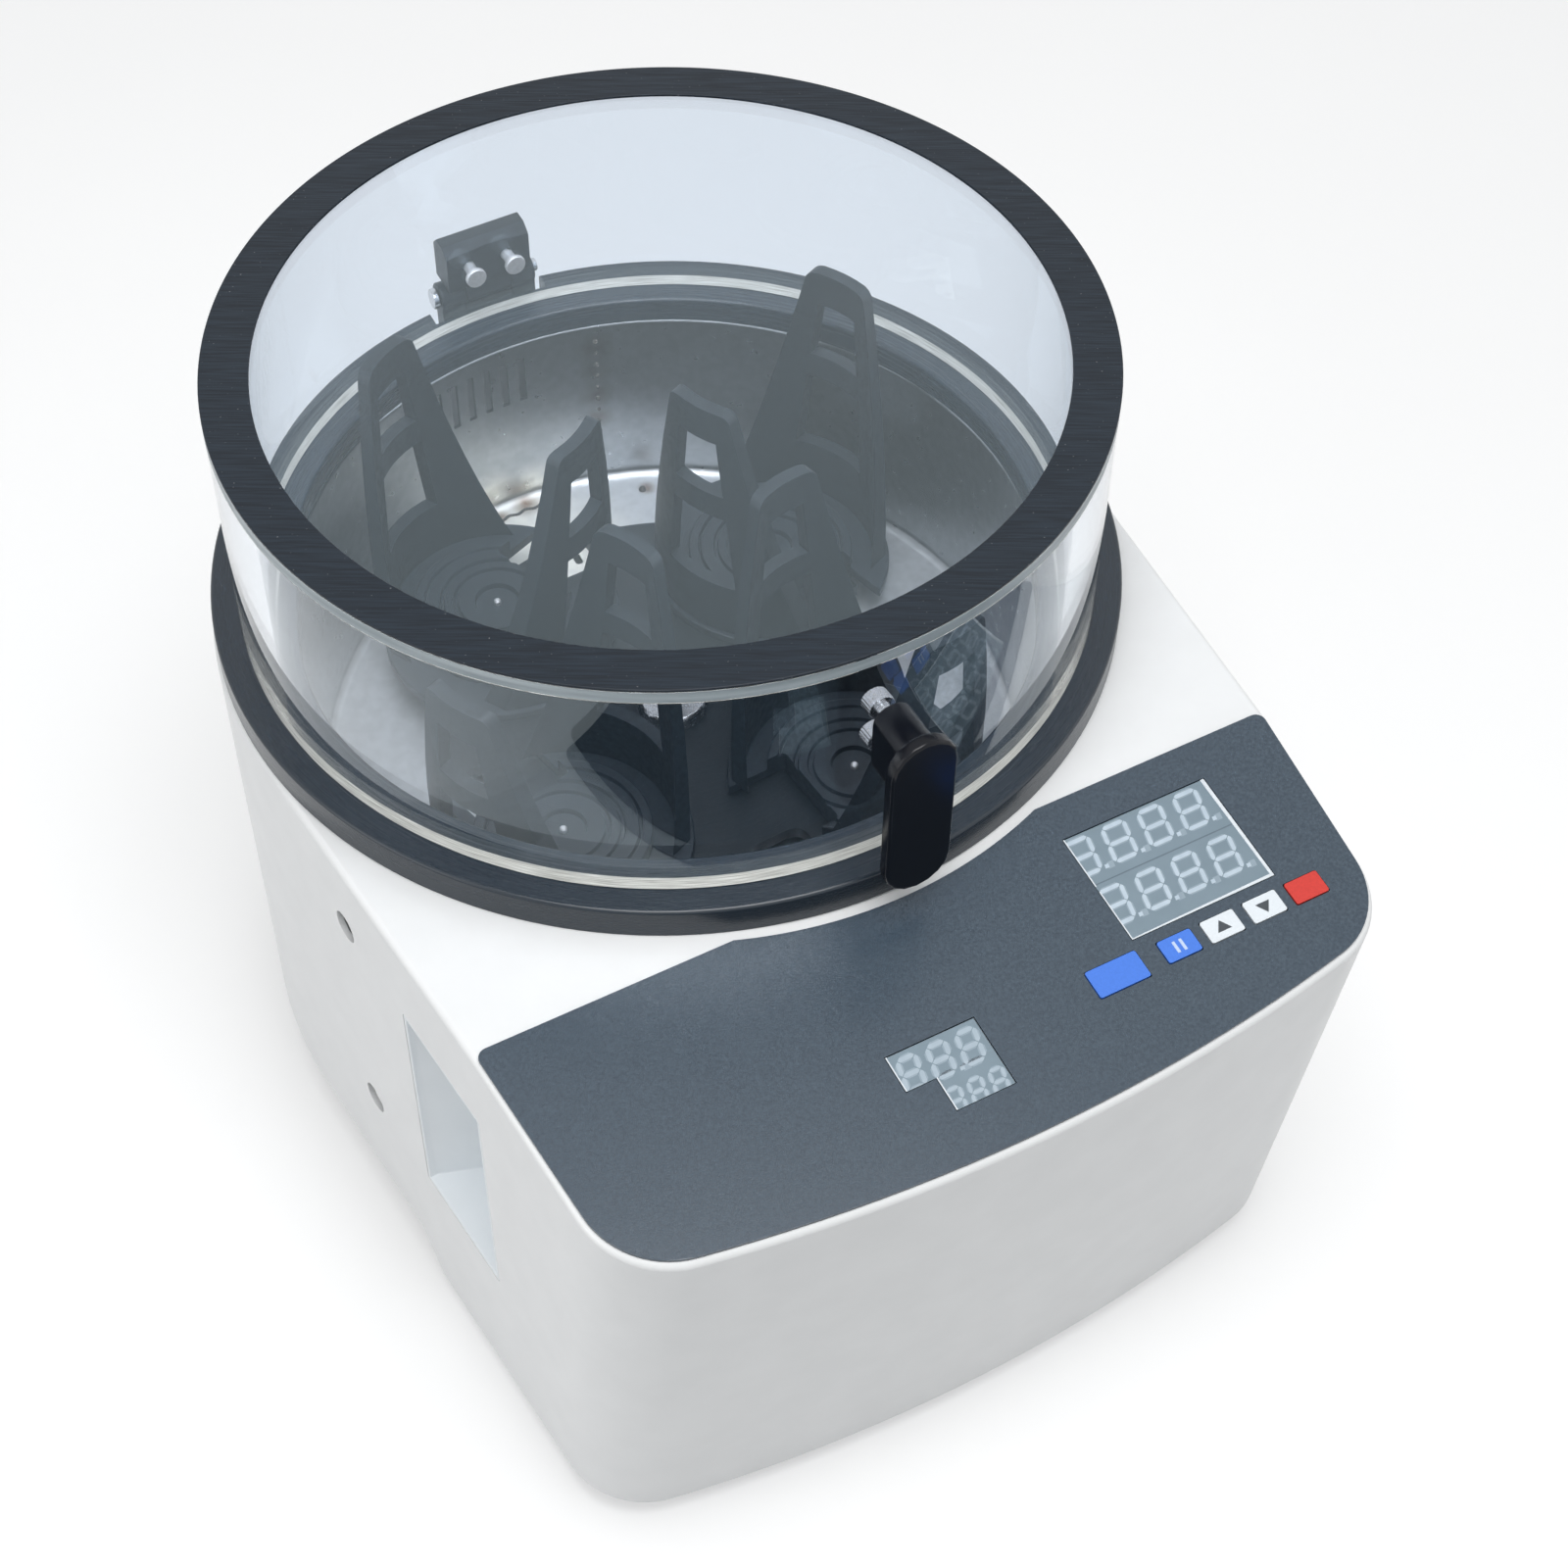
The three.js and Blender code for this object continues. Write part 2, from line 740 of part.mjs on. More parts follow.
/** A gear's outline with one tooth's middle at the given angle. */
function gearOutline(teeth, firstAngle) {
  const pitch = pitchRadius(teeth);
  const tip = pitch + addendumShare * gearModule;
  const root = pitch - dedendumShare * gearModule;
  const tipHalf = toothHalfAngle(teeth, tip);
  const rootHalf = toothHalfAngle(teeth, root);
  const outline = [];
  for (let i = 0; i < teeth; i += 1) {
    const middle = firstAngle + (360 / teeth) * i;
    outline.push(...arc(0, 0, root, middle - rootHalf, middle - rootHalf, 1).slice(1));
    outline.push(...arc(0, 0, tip, middle - tipHalf, middle + tipHalf, 1));
    outline.push(...arc(0, 0, root, middle + rootHalf, middle + rootHalf, 1).slice(1));
  }
  return outline;
}

function gear(teeth, firstAngle, bore) {
  const hole = arc(0, 0, bore, 360, 0, smallRound).slice(1);
  return raised(gearOutline(teeth, firstAngle), gearLow, gearHigh, [hole]);
}

function fixedSunGear() {
  const bore = shaftRadius + 2 * gap;
  const hub = tube(bore, bowlNeck - gap, floorLow, gearLow + gearThick / 2, smallRound);
  return joined(gear(sunTeeth, stationAngle, bore), hub);
}

// Sun wheel

const wheelLow = gearHigh + wheelLift;
const wheelHigh = wheelLow + wheelThick;
const seatLow = wheelHigh + seatLift;
const seatHigh = seatLow + seatThick;
const stationAngles = Array.from({ length: stations }, (_, i) => stationAngle + (360 / stations) * i);

/** A point on a circle round the wheel's axis, as a shift for a solid. */
function onCircle(radius, angle) {
  return [radius * Math.cos(radians(angle)), radius * Math.sin(radians(angle)), 0];
}

function sunWheel() {
  const wheel = turned(
    [
      [shaftNeck + gap, wheelLow],
      [wheelRadius - ringChamfer, wheelLow],
      [wheelRadius, wheelLow + ringChamfer],
      [wheelRadius, wheelHigh - ringChamfer],
      [wheelRadius - ringChamfer, wheelHigh],
      [shaftNeck + gap, wheelHigh],
    ],
    bigRound,
  );
  const bores = stationAngles.map((angle) =>
    disc(planetShaftRadius + gap, 0, topHeight, smallRound).translate(onCircle(planetOrbit, angle)),
  );
  const idlerPins = stationAngles.map((angle) =>
    disc(idlerPinRadius, gearLow, wheelLow + wheelThick / 2, smallRound).translate(
      onCircle(idlerOrbit, angle),
    ),
  );
  return joined(cut(wheel, ...bores), ...idlerPins);
}

function mainShaft() {
  return turned(
    [
      [0, pulleyLow - gap],
      [shaftRadius, pulleyLow - gap],
      [shaftRadius, wheelLow - gap],
      [shaftNeck, wheelLow - gap],
      [shaftNeck, wheelHigh + gap],
      [wheelNutRadius, wheelHigh + gap],
      [wheelNutRadius, wheelHigh + gap + wheelNutHigh - ringChamfer],
      [wheelNutRadius - ringChamfer, wheelHigh + gap + wheelNutHigh],
      [0, wheelHigh + gap + wheelNutHigh],
    ],
    smallRound,
  );
}

function idlerGear(angle) {
  const halfPitch = 180 / idlerTeeth;
  return gear(idlerTeeth, angle + halfPitch, idlerPinRadius + gap);
}

// Planet seats, each with its shaft and gear

const platformTop = seatHigh + platformHigh;

function seatProfile() {
  const profile = [
    [0, gearLow],
    [planetShaftRadius, gearLow],
    [planetShaftRadius, seatLow],
    [seatRadius - ringChamfer, seatLow],
    [seatRadius, seatLow + ringChamfer],
    [seatRadius, seatHigh],
    [platformRadius, seatHigh],
    [platformRadius - ringChamfer, platformTop],
  ];
  for (const radius of grooveShares.map((share) => platformRadius * share)) {
    profile.push([radius, platformTop]);
    profile.push([radius - grooveWide / 2, platformTop - grooveDeep]);
    profile.push([radius - grooveWide, platformTop]);
  }
  const dishRadius = platformRadius * dishShare;
  const dish = platformTop - dishDeep;
  profile.push([dishRadius, platformTop], [dishRadius - dishDeep / 2, dish]);
  profile.push([seatScrewRadius, dish], [seatScrewRadius, dish + seatScrewHigh]);
  profile.push([0, dish + seatScrewHigh]);
  return profile;
}

function planetSeat(angle) {
  return joined(turned(seatProfile(), midRound), raised(gearOutline(planetTeeth, angle), gearLow, gearHigh));
}

// Uprights: a tapering, windowed plate cut from a tube round the seat's axis

const uprightLow = seatHigh + gap;
const uprightHigh = uprightTop - uprightLow;

/** Half the width of the plate's flat outline at a share of its height. */
function uprightHalf(share) {
  const radius = uprightInner + uprightThick;
  const foot = radius * Math.sin(radians(uprightFootHalf));
  const tip = radius * Math.sin(radians(uprightTipHalf));
  return foot + (tip - foot) * share;
}

function upright(angle) {
  const radius = uprightInner + uprightThick;
  const tip = uprightHalf(1);
  const foot = uprightHalf(0);
  const outline = [
    new THREE.Vector2(-foot, uprightLow),
    new THREE.Vector2(foot, uprightLow),
    ...arc(tip - uprightCorner, uprightTop - uprightCorner, uprightCorner, 0, 90, 3),
    ...arc(uprightCorner - tip, uprightTop - uprightCorner, uprightCorner, 90, 180, 3),
  ];
  const windows = windowLevelShares.map(([lowShare, highShare]) => {
    const low = uprightHalf(lowShare) * windowSplayShare;
    const high = uprightHalf(highShare) * windowSplayShare;
    const sill = uprightLow + lowShare * uprightHigh;
    const head = uprightLow + highShare * uprightHigh;
    return [
      new THREE.Vector2(-low, sill),
      new THREE.Vector2(-high, head),
      new THREE.Vector2(high, head),
      new THREE.Vector2(low, sill),
    ];
  });
  const blank = standing(raised(outline, 0, radius + overrun, windows));
  const ring = tube(uprightInner, radius, uprightLow - overrun, uprightTop + overrun, bigRound);
  return ring.intersect(blank).rotate([0, 0, angle + 90]);
}

// Belt drive

const pulleyHigh = pulleyLow + pulleyFace;

function pulleyProfile(bore, radius) {
  const rim = radius + rimHigh;
  return [
    [bore, pulleyLow],
    [rim, pulleyLow],
    [rim, pulleyLow + pulleyFlange - gap],
    [radius, pulleyLow + pulleyFlange - gap],
    [radius, pulleyHigh - pulleyFlange + gap],
    [rim, pulleyHigh - pulleyFlange + gap],
    [rim, pulleyHigh],
    [bore, pulleyHigh],
  ];
}

function drivenPulley() {
  const bore = shaftRadius + gap;
  const rimInner = drivenRadius - drivenWeb;
  const web = (pulleyLow + pulleyHigh) / 2;
  const wheel = turned(pulleyProfile(bore, drivenRadius), midRound);
  const pocket = tube(bore + drivenWeb, rimInner, web, pulleyHigh + overrun, midRound);
  return cut(wheel, pocket);
}

function motorPulley() {
  const pulley = turned(pulleyProfile(0, motorPulleyRadius), midRound);
  const shaft = disc(motorShaft, pulleyLow, motorFoot + motorShaft, smallRound);
  return joined(pulley, shaft).translate([0, -motorFront, 0]);
}

/** The belt's path round both pulleys at a distance from their rims. */
function beltOutline(extra) {
  const large = drivenRadius + extra;
  const small = motorPulleyRadius + extra;
  const lean = THREE.MathUtils.radToDeg(Math.asin((large - small) / motorFront));
  return [
    ...arc(0, 0, large, -lean, 180 + lean, midRound),
    ...arc(0, -motorFront, small, 180 + lean, 360 - lean, smallRound),
  ];
}

function belt() {
  const low = (pulleyLow + pulleyHigh - beltWide) / 2 + gap;
  const high = low + beltWide - 2 * gap;
  const inside = beltOutline(gap).reverse();
  return raised(beltOutline(gap + beltThick), low, high, [inside]);
}

function motor() {
  const body = cut(
    turned(
      [
        [0, motorFoot],
        [motorRadius - motorFinDeep, motorFoot],
        [motorRadius, motorFoot + motorFinDeep],
        [motorRadius, motorTop - motorFinDeep],
        [motorRadius - motorFinDeep, motorTop],
        [0, motorTop],
      ],
      midRound,
    ),
    disc(motorShaft + gap, motorFoot - overrun, motorFoot + motorCap, smallRound),
  );
  const cutters = Array.from({ length: motorFins }, (_, i) =>
    slotCutter(
      motorRadius - motorFinDeep,
      motorRadius + overrun,
      motorFinWide,
      motorFoot + motorCap,
      motorTop - motorCap,
      (360 / motorFins) * i,
    ),
  );
  return cut(body, ...cutters).translate([0, -motorFront, 0]);
}

function motorBracket() {
  const high = motorFoot - gap;
  const low = plateHigh + gap;
  const wide = bracketHalfWide;
  const deep = bracketHalfDeep;
  const table = block(-wide, wide, -deep, deep, high - bracketThick, high);
  const legs = [-1, 1].map((side) => {
    const inner = side * (wide - bracketThick);
    const outer = side * wide;
    const toe = side * (wide + bracketToe);
    return joined(
      block(Math.min(inner, outer), Math.max(inner, outer), -deep, deep, low, high),
      block(Math.min(inner, toe), Math.max(inner, toe), -deep, deep, low, low + bracketThick),
    );
  });
  const hole = disc(motorShaft + bracketThick, low, high + overrun, smallRound);
  return cut(joined(table, ...legs), hole).translate([0, -motorFront, 0]);
}

// Lid

const ringTop = topHeight + ringHeight;
const tubeLow = ringTop + gap;
const tubeHigh = lidHeight - bandThick - discThick - 2 * gap;
const lidBore = lidRadius - lidWall;
const handleScrewHeights = [-1, 1].map(
  (side) => postTop - postTall / 2 + (side * handleScrewPitch) / 2,
);
const leafScrewPlaces = [-leafScrewHalf, leafScrewHalf];

/** A hole through the front or rear of the lid's wall. */
function lidHole(x, height, front) {
  const drill = standing(disc(screwRadius + gap, lidBore - overrun, lidRadius + overrun, smallRound));
  return (front ? drill : drill.rotate([0, 0, 180])).translate([x, 0, height]);
}

function lidTube() {
  return cut(
    tube(lidBore, lidRadius, tubeLow, tubeHigh, bigRound),
    ...handleScrewHeights.map((height) => lidHole(0, height, true)),
    ...leafScrewPlaces.map((x) => lidHole(x, leafScrewHeight, false)),
  );
}

const discLow = tubeHigh + gap;

function lidDisc() {
  return disc(lidRadius, discLow, discLow + discThick, bigRound);
}

function lidBand() {
  return tube(bandBore, lidRadius, lidHeight - bandThick, lidHeight, bigRound);
}

/** The handle: a post square to the lid's wall and an upright plate, in one piece. */
function handle() {
  const plate = raised(stadium(plateWide, plateTall, plateTop), handleReach - plateDeep, handleReach);
  const post = raised(stadium(postWide, postTall, postTop), lidBore, handleReach - plateDeep / 2);
  const wall = disc(lidRadius + gap, 0, lidHeight + overrun, bigRound);
  const bores = handleScrewHeights.map((height) =>
    standing(disc(screwRadius + gap, 0, handleReach - plateDeep, smallRound)).translate([0, 0, height]),
  );
  return cut(joined(standing(post).subtract(wall), standing(plate)), ...bores);
}

/** A knurled cap screw from inside the lid into the handle's post. */
function handleScrew(height) {
  const seat = lidBore * Math.cos(Math.PI / bigRound) - gap;
  const knurl = Array.from({ length: knurlSides * 2 }, (_, i) => {
    const radius = knurlRadius - (i % 2) * gap;
    return new THREE.Vector2(
      radius * Math.cos((Math.PI * i) / knurlSides),
      radius * Math.sin((Math.PI * i) / knurlSides),
    );
  });
  const headIn = seat - knurlDeep;
  const head = raised(knurl, headIn, seat);
  const shank = disc(screwRadius, seat - knurlDeep / 2, handleReach - 2 * plateDeep, smallRound);
  const socket = disc(screwSocket, headIn - overrun, headIn + knurlDeep / 2, 6);
  return standing(cut(joined(head, shank), socket)).translate([0, 0, height]);
}

// Hinge

/** A round bar along X at the hinge's axis. */
function hingeBar(radius, left, right, sides) {
  return disc(radius, left, right, sides).rotate([0, 90, 0]).translate([0, pinBack, pinHeight]);
}

const hingeBore = () => hingeBar(pinRadius + gap, -leafHalf - overrun, leafHalf + overrun, smallRound);

function hingeBase() {
  const foot = block(
    -leafHalf, leafHalf, leafFootFront, leafFootBack, topHeight + gap, topHeight + gap + leafFootThick,
  );
  const ears = [-1, 1].map((side) => {
    const left = side > 0 ? knuckleSplit : -leafHalf;
    const right = left + leafHalf - knuckleSplit;
    const web = block(left, right, leafFootFront, leafFootBack, topHeight + leafFootThick, pinHeight);
    return joined(web, hingeBar(knuckleRadius, left, right, smallRound));
  });
  const webHigh = pinHeight - knuckleRadius - webClear;
  const middle = block(
    -leafHalf, leafHalf, leafFootFront, leafFootBack, topHeight + leafFootThick, webHigh,
  );
  return cut(joined(foot, middle, ...ears), hingeBore());
}

function hingeLeaf() {
  const low = pinHeight + knuckleRadius + 2 * gap;
  const front = lidRadius - knuckleRadius;
  const profile = [
    new THREE.Vector2(front, low),
    new THREE.Vector2(leafBack, low),
    new THREE.Vector2(leafBack, leafTop - leafChamfer / 2),
    new THREE.Vector2(leafBack - leafChamfer / 2, leafTop),
    new THREE.Vector2(lidRadius + leafChamfer / 2, leafTop),
    new THREE.Vector2(front, leafTop - leafChamfer),
  ];
  const blockPart = raised(profile, -leafBlockHalf, leafBlockHalf).rotate([90, 0, 90]);
  const half = knuckleSplit - gap;
  const knuckle = joined(
    hingeBar(knuckleRadius, -half, half, smallRound),
    block(-half, half, pinBack - knuckleRadius, pinBack + knuckleRadius, pinHeight, low + leafChamfer),
  );
  const wall = disc(lidRadius + gap, 0, lidHeight, bigRound);
  const bores = leafScrewPlaces.map((x) => lidHole(x, leafScrewHeight, false));
  return cut(joined(blockPart, knuckle), wall, hingeBore(), ...bores);
}

function hingePin() {
  const left = -leafHalf - gap;
  const shank = hingeBar(pinRadius, left - pinHeadDeep / 2, leafHalf + pinHeadDeep, smallRound);
  return joined(shank, hingeBar(pinHead, left - pinHeadDeep, left, smallRound));
}

/** A screw through the lid's wall and the leaf, with a domed nut outside. */
function leafScrew(x) {
  const seat = lidBore * Math.cos(Math.PI / bigRound) - gap;
  const nutSeat = leafBack + gap;
  return turned(
    [
      [0, seat - screwRadius],
      [screwRadius + screwSocket, seat - screwRadius],
      [screwRadius + screwSocket, seat - gap],
      [screwRadius, seat - gap],
      [screwRadius, nutSeat],
      [nutRadius, nutSeat],
      [nutRadius, nutSeat + nutDeep / 2],
      [nutRadius / 2, nutSeat + nutDeep],
      [0, nutSeat + nutDeep],
    ],
    smallRound,
  )
    .rotate([-90, 0, 0])
    .translate([x, 0, leafScrewHeight]);
}

// Console pieces, in the console's frame

const overlayLow = gap;
const overlayHigh = overlayLow + overlayThick;
const screenFace = overlayHigh - screenSunk;
const screenBack = -boardDepth + gap;

/** A world outline brought onto the console's frame. */
function ontoConsole(outline) {
  return outline.map((point) => new THREE.Vector2(point.x, (point.y + bendFront) / Math.cos(slope)));
}

const screenOutline = (extra) => [
  new THREE.Vector2(screenLeft - extra, screenFront - extra),
  new THREE.Vector2(screenRight + extra, screenFront - extra),
  new THREE.Vector2(screenRight + extra, screenRear + extra),
  new THREE.Vector2(screenLeft - extra, screenRear + extra),
];

const thermoOutline = (extra) => [
  new THREE.Vector2(thermoNotch - extra, thermoFront - extra),
  new THREE.Vector2(thermoRight + extra, thermoFront - extra),
  new THREE.Vector2(thermoRight + extra, thermoRear + extra),
  new THREE.Vector2(thermoLeft - extra, thermoRear + extra),
  new THREE.Vector2(thermoLeft - extra, thermoMiddle - extra),
  new THREE.Vector2(thermoNotch - extra, thermoMiddle - extra),
];

/** A key's outline round its middle. */
function keyOutline(name, extra) {
  const x = keyColumns[name];
  const long = (name === "key_menu" ? menuLong : keyLong) / 2 + extra;
  const deep = (name === "key_menu" ? menuDeep : keyDeep) / 2 + extra;
  return roundedOutline(x - long, x + long, keyRow - deep, keyRow + deep, keyCorner, 2);
}

const keyNames = Object.keys(keyColumns);

function consoleWindows() {
  const low = -sheet - windowSlack;
  const columns = Object.values(keyColumns);
  const keyWindow = block(
    Math.min(...columns) - menuLong / 2 - keySlack,
    Math.max(...columns) + keyLong / 2 + keySlack,
    keyRow - menuDeep / 2 - keySlack,
    keyRow + menuDeep / 2 + keySlack,
    low,
    windowSlack,
  );
  return [
    keyWindow,
    raised(screenOutline(gap), low, windowSlack),
    raised(thermoOutline(gap), low, windowSlack),
  ].map((cutter) => placed(cutter, consoleFrame));
}

function controlOverlay() {
  const whole = raised(ontoConsole(plan(frontReach, overlayMargin)), overlayLow, overlayHigh);
  const wide = rearRadius;
  const halfWide = rearRadius * Math.cos(taper) - bendFront * Math.sin(taper) + overlayMargin;
  const field = raised(
    roundedOutline(-halfWide, halfWide, 2 * consoleDrop, 0, overlayRearCorner),
    overlayLow,
    overlayHigh,
  );
  const ringCentre = bendFront / Math.cos(slope);
  const bite = disc(ringRadius + ringMargin, -wide, wide, bigRound * 2).translate([0, ringCentre, 0]);
  const keyHoles = keyNames.map((name) => keyOutline(name, keySlack));
  const windows = [screenOutline(gap), thermoOutline(gap), ...keyHoles];
  return cut(
    whole.intersect(field),
    bite,
    ...windows.map((outline) => raised(outline, -overlayHigh, 2 * overlayHigh)),
  );
}

const screen = () => raised(screenOutline(0), screenBack, screenFace);
const thermoScreen = () => raised(thermoOutline(0), screenBack, screenFace);

function key(name) {
  const foot = -boardDepth + gap + keyTravel;
  return raised(keyOutline(name, 0), foot, overlayHigh + keyProud);
}

function controlBoard() {
  const high = -boardDepth;
  const low = high - boardThick;
  const left = thermoLeft - boardEdge;
  const right = Math.max(...Object.values(keyColumns)) + keyLong / 2 + boardEdge;
  const front = thermoFront - boardEdge;
  const rear = screenRear + boardEdge;
  const inside = raised(ontoConsole(plan(frontReach, boardEdge)), low - boardThick, 0);
  const board = raised(roundedOutline(left, right, front, rear, keyCorner, 2), low, high).intersect(inside);
  const inset = boardEdge / 2;
  const posts = [];
  for (const x of [left + inset, right - 2 * boardEdge]) {
    for (const y of [thermoFront + boardEdge, rear - inset]) {
      posts.push(disc(standoffRadius, high - boardThick / 2, -sheet - gap, 8).translate([x, y, 0]));
    }
  }
  return joined(board, ...posts);
}

// Mains inlet and rocker in the right wall

const inletFrame = wallFrame(1, inletBack, inletHeight);

function inletBlock(extra, out) {
  const wide = inletWide / 2 + extra;
  const tall = inletTall / 2 + extra;
  return block(-inletDeep, out, -wide, wide, -tall, tall);
}

function rockerWell(extra) {
  const wide = rockerWide / 2 + extra;
  const tall = rockerTall / 2 + extra;
  return block(-rockerDeep - extra, overrun, rockerOff - wide, rockerOff + wide, -tall, tall);
}

function powerInlet() {
  const wide = inletWide / 2 + inletFlange;
  const tall = inletTall / 2 + inletFlange;
  const flange = block(gap, gap + inletFlangeThick, -wide, wide, -tall, tall);
  const socket = block(
    gap + inletFlangeThick - socketDeep,
    overrun,
    socketOff - socketWide / 2,
    socketOff + socketWide / 2,
    -socketTall / 2,
    socketTall / 2,
  );
  const rear = -socketDeep;
  const blades = [-1, 0, 1].map((place) =>
    block(
      rear,
      -socketDeep / 3,
      socketOff + (place * socketWide) / 4 - gap,
      socketOff + (place * socketWide) / 4 + gap,
      -socketTall / 6,
      socketTall / 6,
    ),
  );
  const body = joined(flange, inletBlock(0, gap + inletFlangeThick / 2));
  return joined(cut(body, socket, rockerWell(gap)), ...blades);
}

/** The rocker, tilted to off: its upper end stands proud. */
function rocker() {
  const wide = rockerWide / 2 - gap;
  const tall = rockerTall / 2 - 2 * gap;
  const face = gap + inletFlangeThick;
  const side = [
    new THREE.Vector2(face - rockerDeep / 2, -tall + rockerProud),
    new THREE.Vector2(face + rockerProud / 2, -tall),
    new THREE.Vector2(face + rockerProud / 3, 0),
    new THREE.Vector2(face + rockerProud / 2, tall),
    new THREE.Vector2(face - rockerDeep / 2, tall - rockerProud),
  ];
  const bar = raised(side, -wide, wide).rotate([90, 0, 0]);
  const tilted = bar.translate([-face, 0, 0]).rotate([0, rockerTilt, 0]);
  return tilted.translate([face, rockerOff, 0]);
}

// Drive unit

function driveUnit() {
  const low = plateHigh + gap;
  const box = block(-driveLeft, -driveRight, -driveFront, -driveRear, low, low + driveHigh);
  const pitch = (driveLeft - driveRight) / driveFins;
  const cutters = Array.from({ length: driveFins - 1 }, (_, i) => {
    const x = -driveLeft + (i + 1) * pitch;
    return block(
      x - driveFinWide / 2,
      x + driveFinWide / 2,
      -driveRear - driveFinDeep,
      -driveRear + overrun,
      low + driveFinDeep,
      low + driveHigh + overrun,
    );
  });
  return cut(box, ...cutters);
}

// Finishes

const finish = (color, roughness, metalness) =>
  new THREE.MeshStandardMaterial({ color, roughness, metalness, flatShading: true });
const whitePaint = finish(0xf2f2f0, 0.35, 0.1);
const blackAnodised = finish(0x191b1f, 0.45, 0.5);
const blackBrushed = finish(0x20242b, 0.5, 0.3);
const blackPlastic = finish(0x0d0d0f, 0.35, 0.0);
const stainless = finish(0xb9bcc0, 0.3, 0.9);
const brightSteel = finish(0xcfd2d6, 0.2, 1.0);
const zincSteel = finish(0x9a9da1, 0.45, 0.8);
const castAluminium = finish(0xa9abae, 0.5, 0.8);
const rubber = finish(0x161616, 0.9, 0.0);
const overlayFilm = finish(0x474e54, 0.6, 0.0);
const displayFilm = finish(0x9fabb3, 0.25, 0.0);
const blueKey = finish(0x2f62c4, 0.5, 0.0);
const whiteKey = finish(0xf2f4f6, 0.5, 0.0);
const redKey = finish(0xd9352c, 0.5, 0.0);
const boardGreen = finish(0x1f5a35, 0.6, 0.0);
const clearAcrylic = new THREE.MeshStandardMaterial({
  color: 0xdde6ea,
  roughness: 0.05,
  metalness: 0,
  transparent: true,
  opacity: 0.3,
  flatShading: true,
});

// Assembly

const mill = new THREE.Group();

function add(name, solid, material, parent = mill) {
  const mesh = new THREE.Mesh(geometryOf(solid), material);
  mesh.name = name;
  parent.add(mesh);
  return mesh;
}

/** A group at a frame, for pieces laid out in that frame. */
function groupAt(frame) {
  const group = new THREE.Group();
  group.applyMatrix4(frame);
  mill.add(group);
  return group;
}

add("housing_shell", housingShell(), whitePaint);
add("side_pocket", pocketPan(), whitePaint, groupAt(pocketFrame));
add("base_plate", basePlate(), zincSteel);
const footPlaces = {
  foot_front_left: [-footFrontSpread, -footFront],
  foot_front_right: [footFrontSpread, -footFront],
  foot_rear_left: [-footRear, footRear],
  foot_rear_right: [footRear, footRear],
};
for (const [name, [x, y]] of Object.entries(footPlaces)) {
  add(name, foot(), rubber).position.set(x, y, 0);
}
add("deck_frame", deckFrame(), zincSteel);
add("bearing_housing", bearingHousing(), castAluminium);
add("bearing_upper", mainBearing(deckHigh - barrelLid - gap - bearingWide), brightSteel);
add("bearing_lower", mainBearing(barrelLow + gap), brightSteel);
add("bowl", bowl(), stainless);
add("base_ring", baseRing(), blackAnodised);
add("fixed_sun_gear", fixedSunGear(), zincSteel);

add("sun_wheel", sunWheel(), blackAnodised);
add("main_shaft", mainShaft(), brightSteel);
add("driven_pulley", drivenPulley(), castAluminium);
stationAngles.forEach((angle, i) => {
  const number = i + 1;
  const idler = add(`idler_gear_${number}`, idlerGear(angle), zincSteel);
  idler.position.set(...onCircle(idlerOrbit, angle));
  const station = new THREE.Group();
  station.position.set(...onCircle(planetOrbit, angle));
  mill.add(station);
  add(`planet_seat_${number}`, planetSeat(angle), blackAnodised, station);
  const pair = angle + pairTurns[i];
  add(`upright_${number}_outer`, upright(pair), blackAnodised, station);
  add(`upright_${number}_inner`, upright(pair + 180), blackAnodised, station);
});

add("motor", motor(), castAluminium);
add("motor_bracket", motorBracket(), zincSteel);
add("motor_pulley", motorPulley(), castAluminium);
add("drive_belt", belt(), rubber);
add("drive_unit", driveUnit(), blackPlastic);

const consolePlace = groupAt(consoleFrame);
add("control_overlay", controlOverlay(), overlayFilm, consolePlace);
add("speed_display", screen(), displayFilm, consolePlace);
add("temperature_display", thermoScreen(), displayFilm, consolePlace);
add("control_board", controlBoard(), boardGreen, consolePlace);
const keyFinishes = [blueKey, blueKey, whiteKey, whiteKey, redKey];
keyNames.forEach((name, i) => add(name, key(name), keyFinishes[i], consolePlace));

const mains = groupAt(inletFrame);
add("power_inlet", powerInlet(), blackPlastic, mains);
add("mains_rocker", rocker(), blackPlastic, mains);

add("lid_tube", lidTube(), clearAcrylic);
add("lid_disc", lidDisc(), clearAcrylic);
add("lid_band", lidBand(), blackBrushed);
add("handle", handle(), blackPlastic);
handleScrewHeights.forEach((height, i) => {
  add(`handle_screw_${["lower", "upper"][i]}`, handleScrew(height), brightSteel);
});
add("hinge_base", hingeBase(), blackAnodised);
add("hinge_leaf", hingeLeaf(), blackAnodised);
add("hinge_pin", hingePin(), brightSteel);
leafScrewPlaces.forEach((x, i) => {
  add(`hinge_screw_${["left", "right"][i]}`, leafScrew(x), brightSteel);
});

// The origin moves to the middle of the footprint, level with the feet's undersides
const middle = new THREE.Box3().setFromObject(mill).getCenter(new THREE.Vector3());
mill.position.set(-middle.x, -middle.y, 0);
const part = new THREE.Group();
part.add(mill);

export default part;
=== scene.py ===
"""Planetary ball mill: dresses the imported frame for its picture.

Pieces are laid out in millimetres with the sun wheel's axis on the Z axis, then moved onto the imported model.
"""

from __future__ import annotations

import logging
import math
from collections.abc import Callable, Iterable, Sequence
from dataclasses import dataclass
from enum import Enum

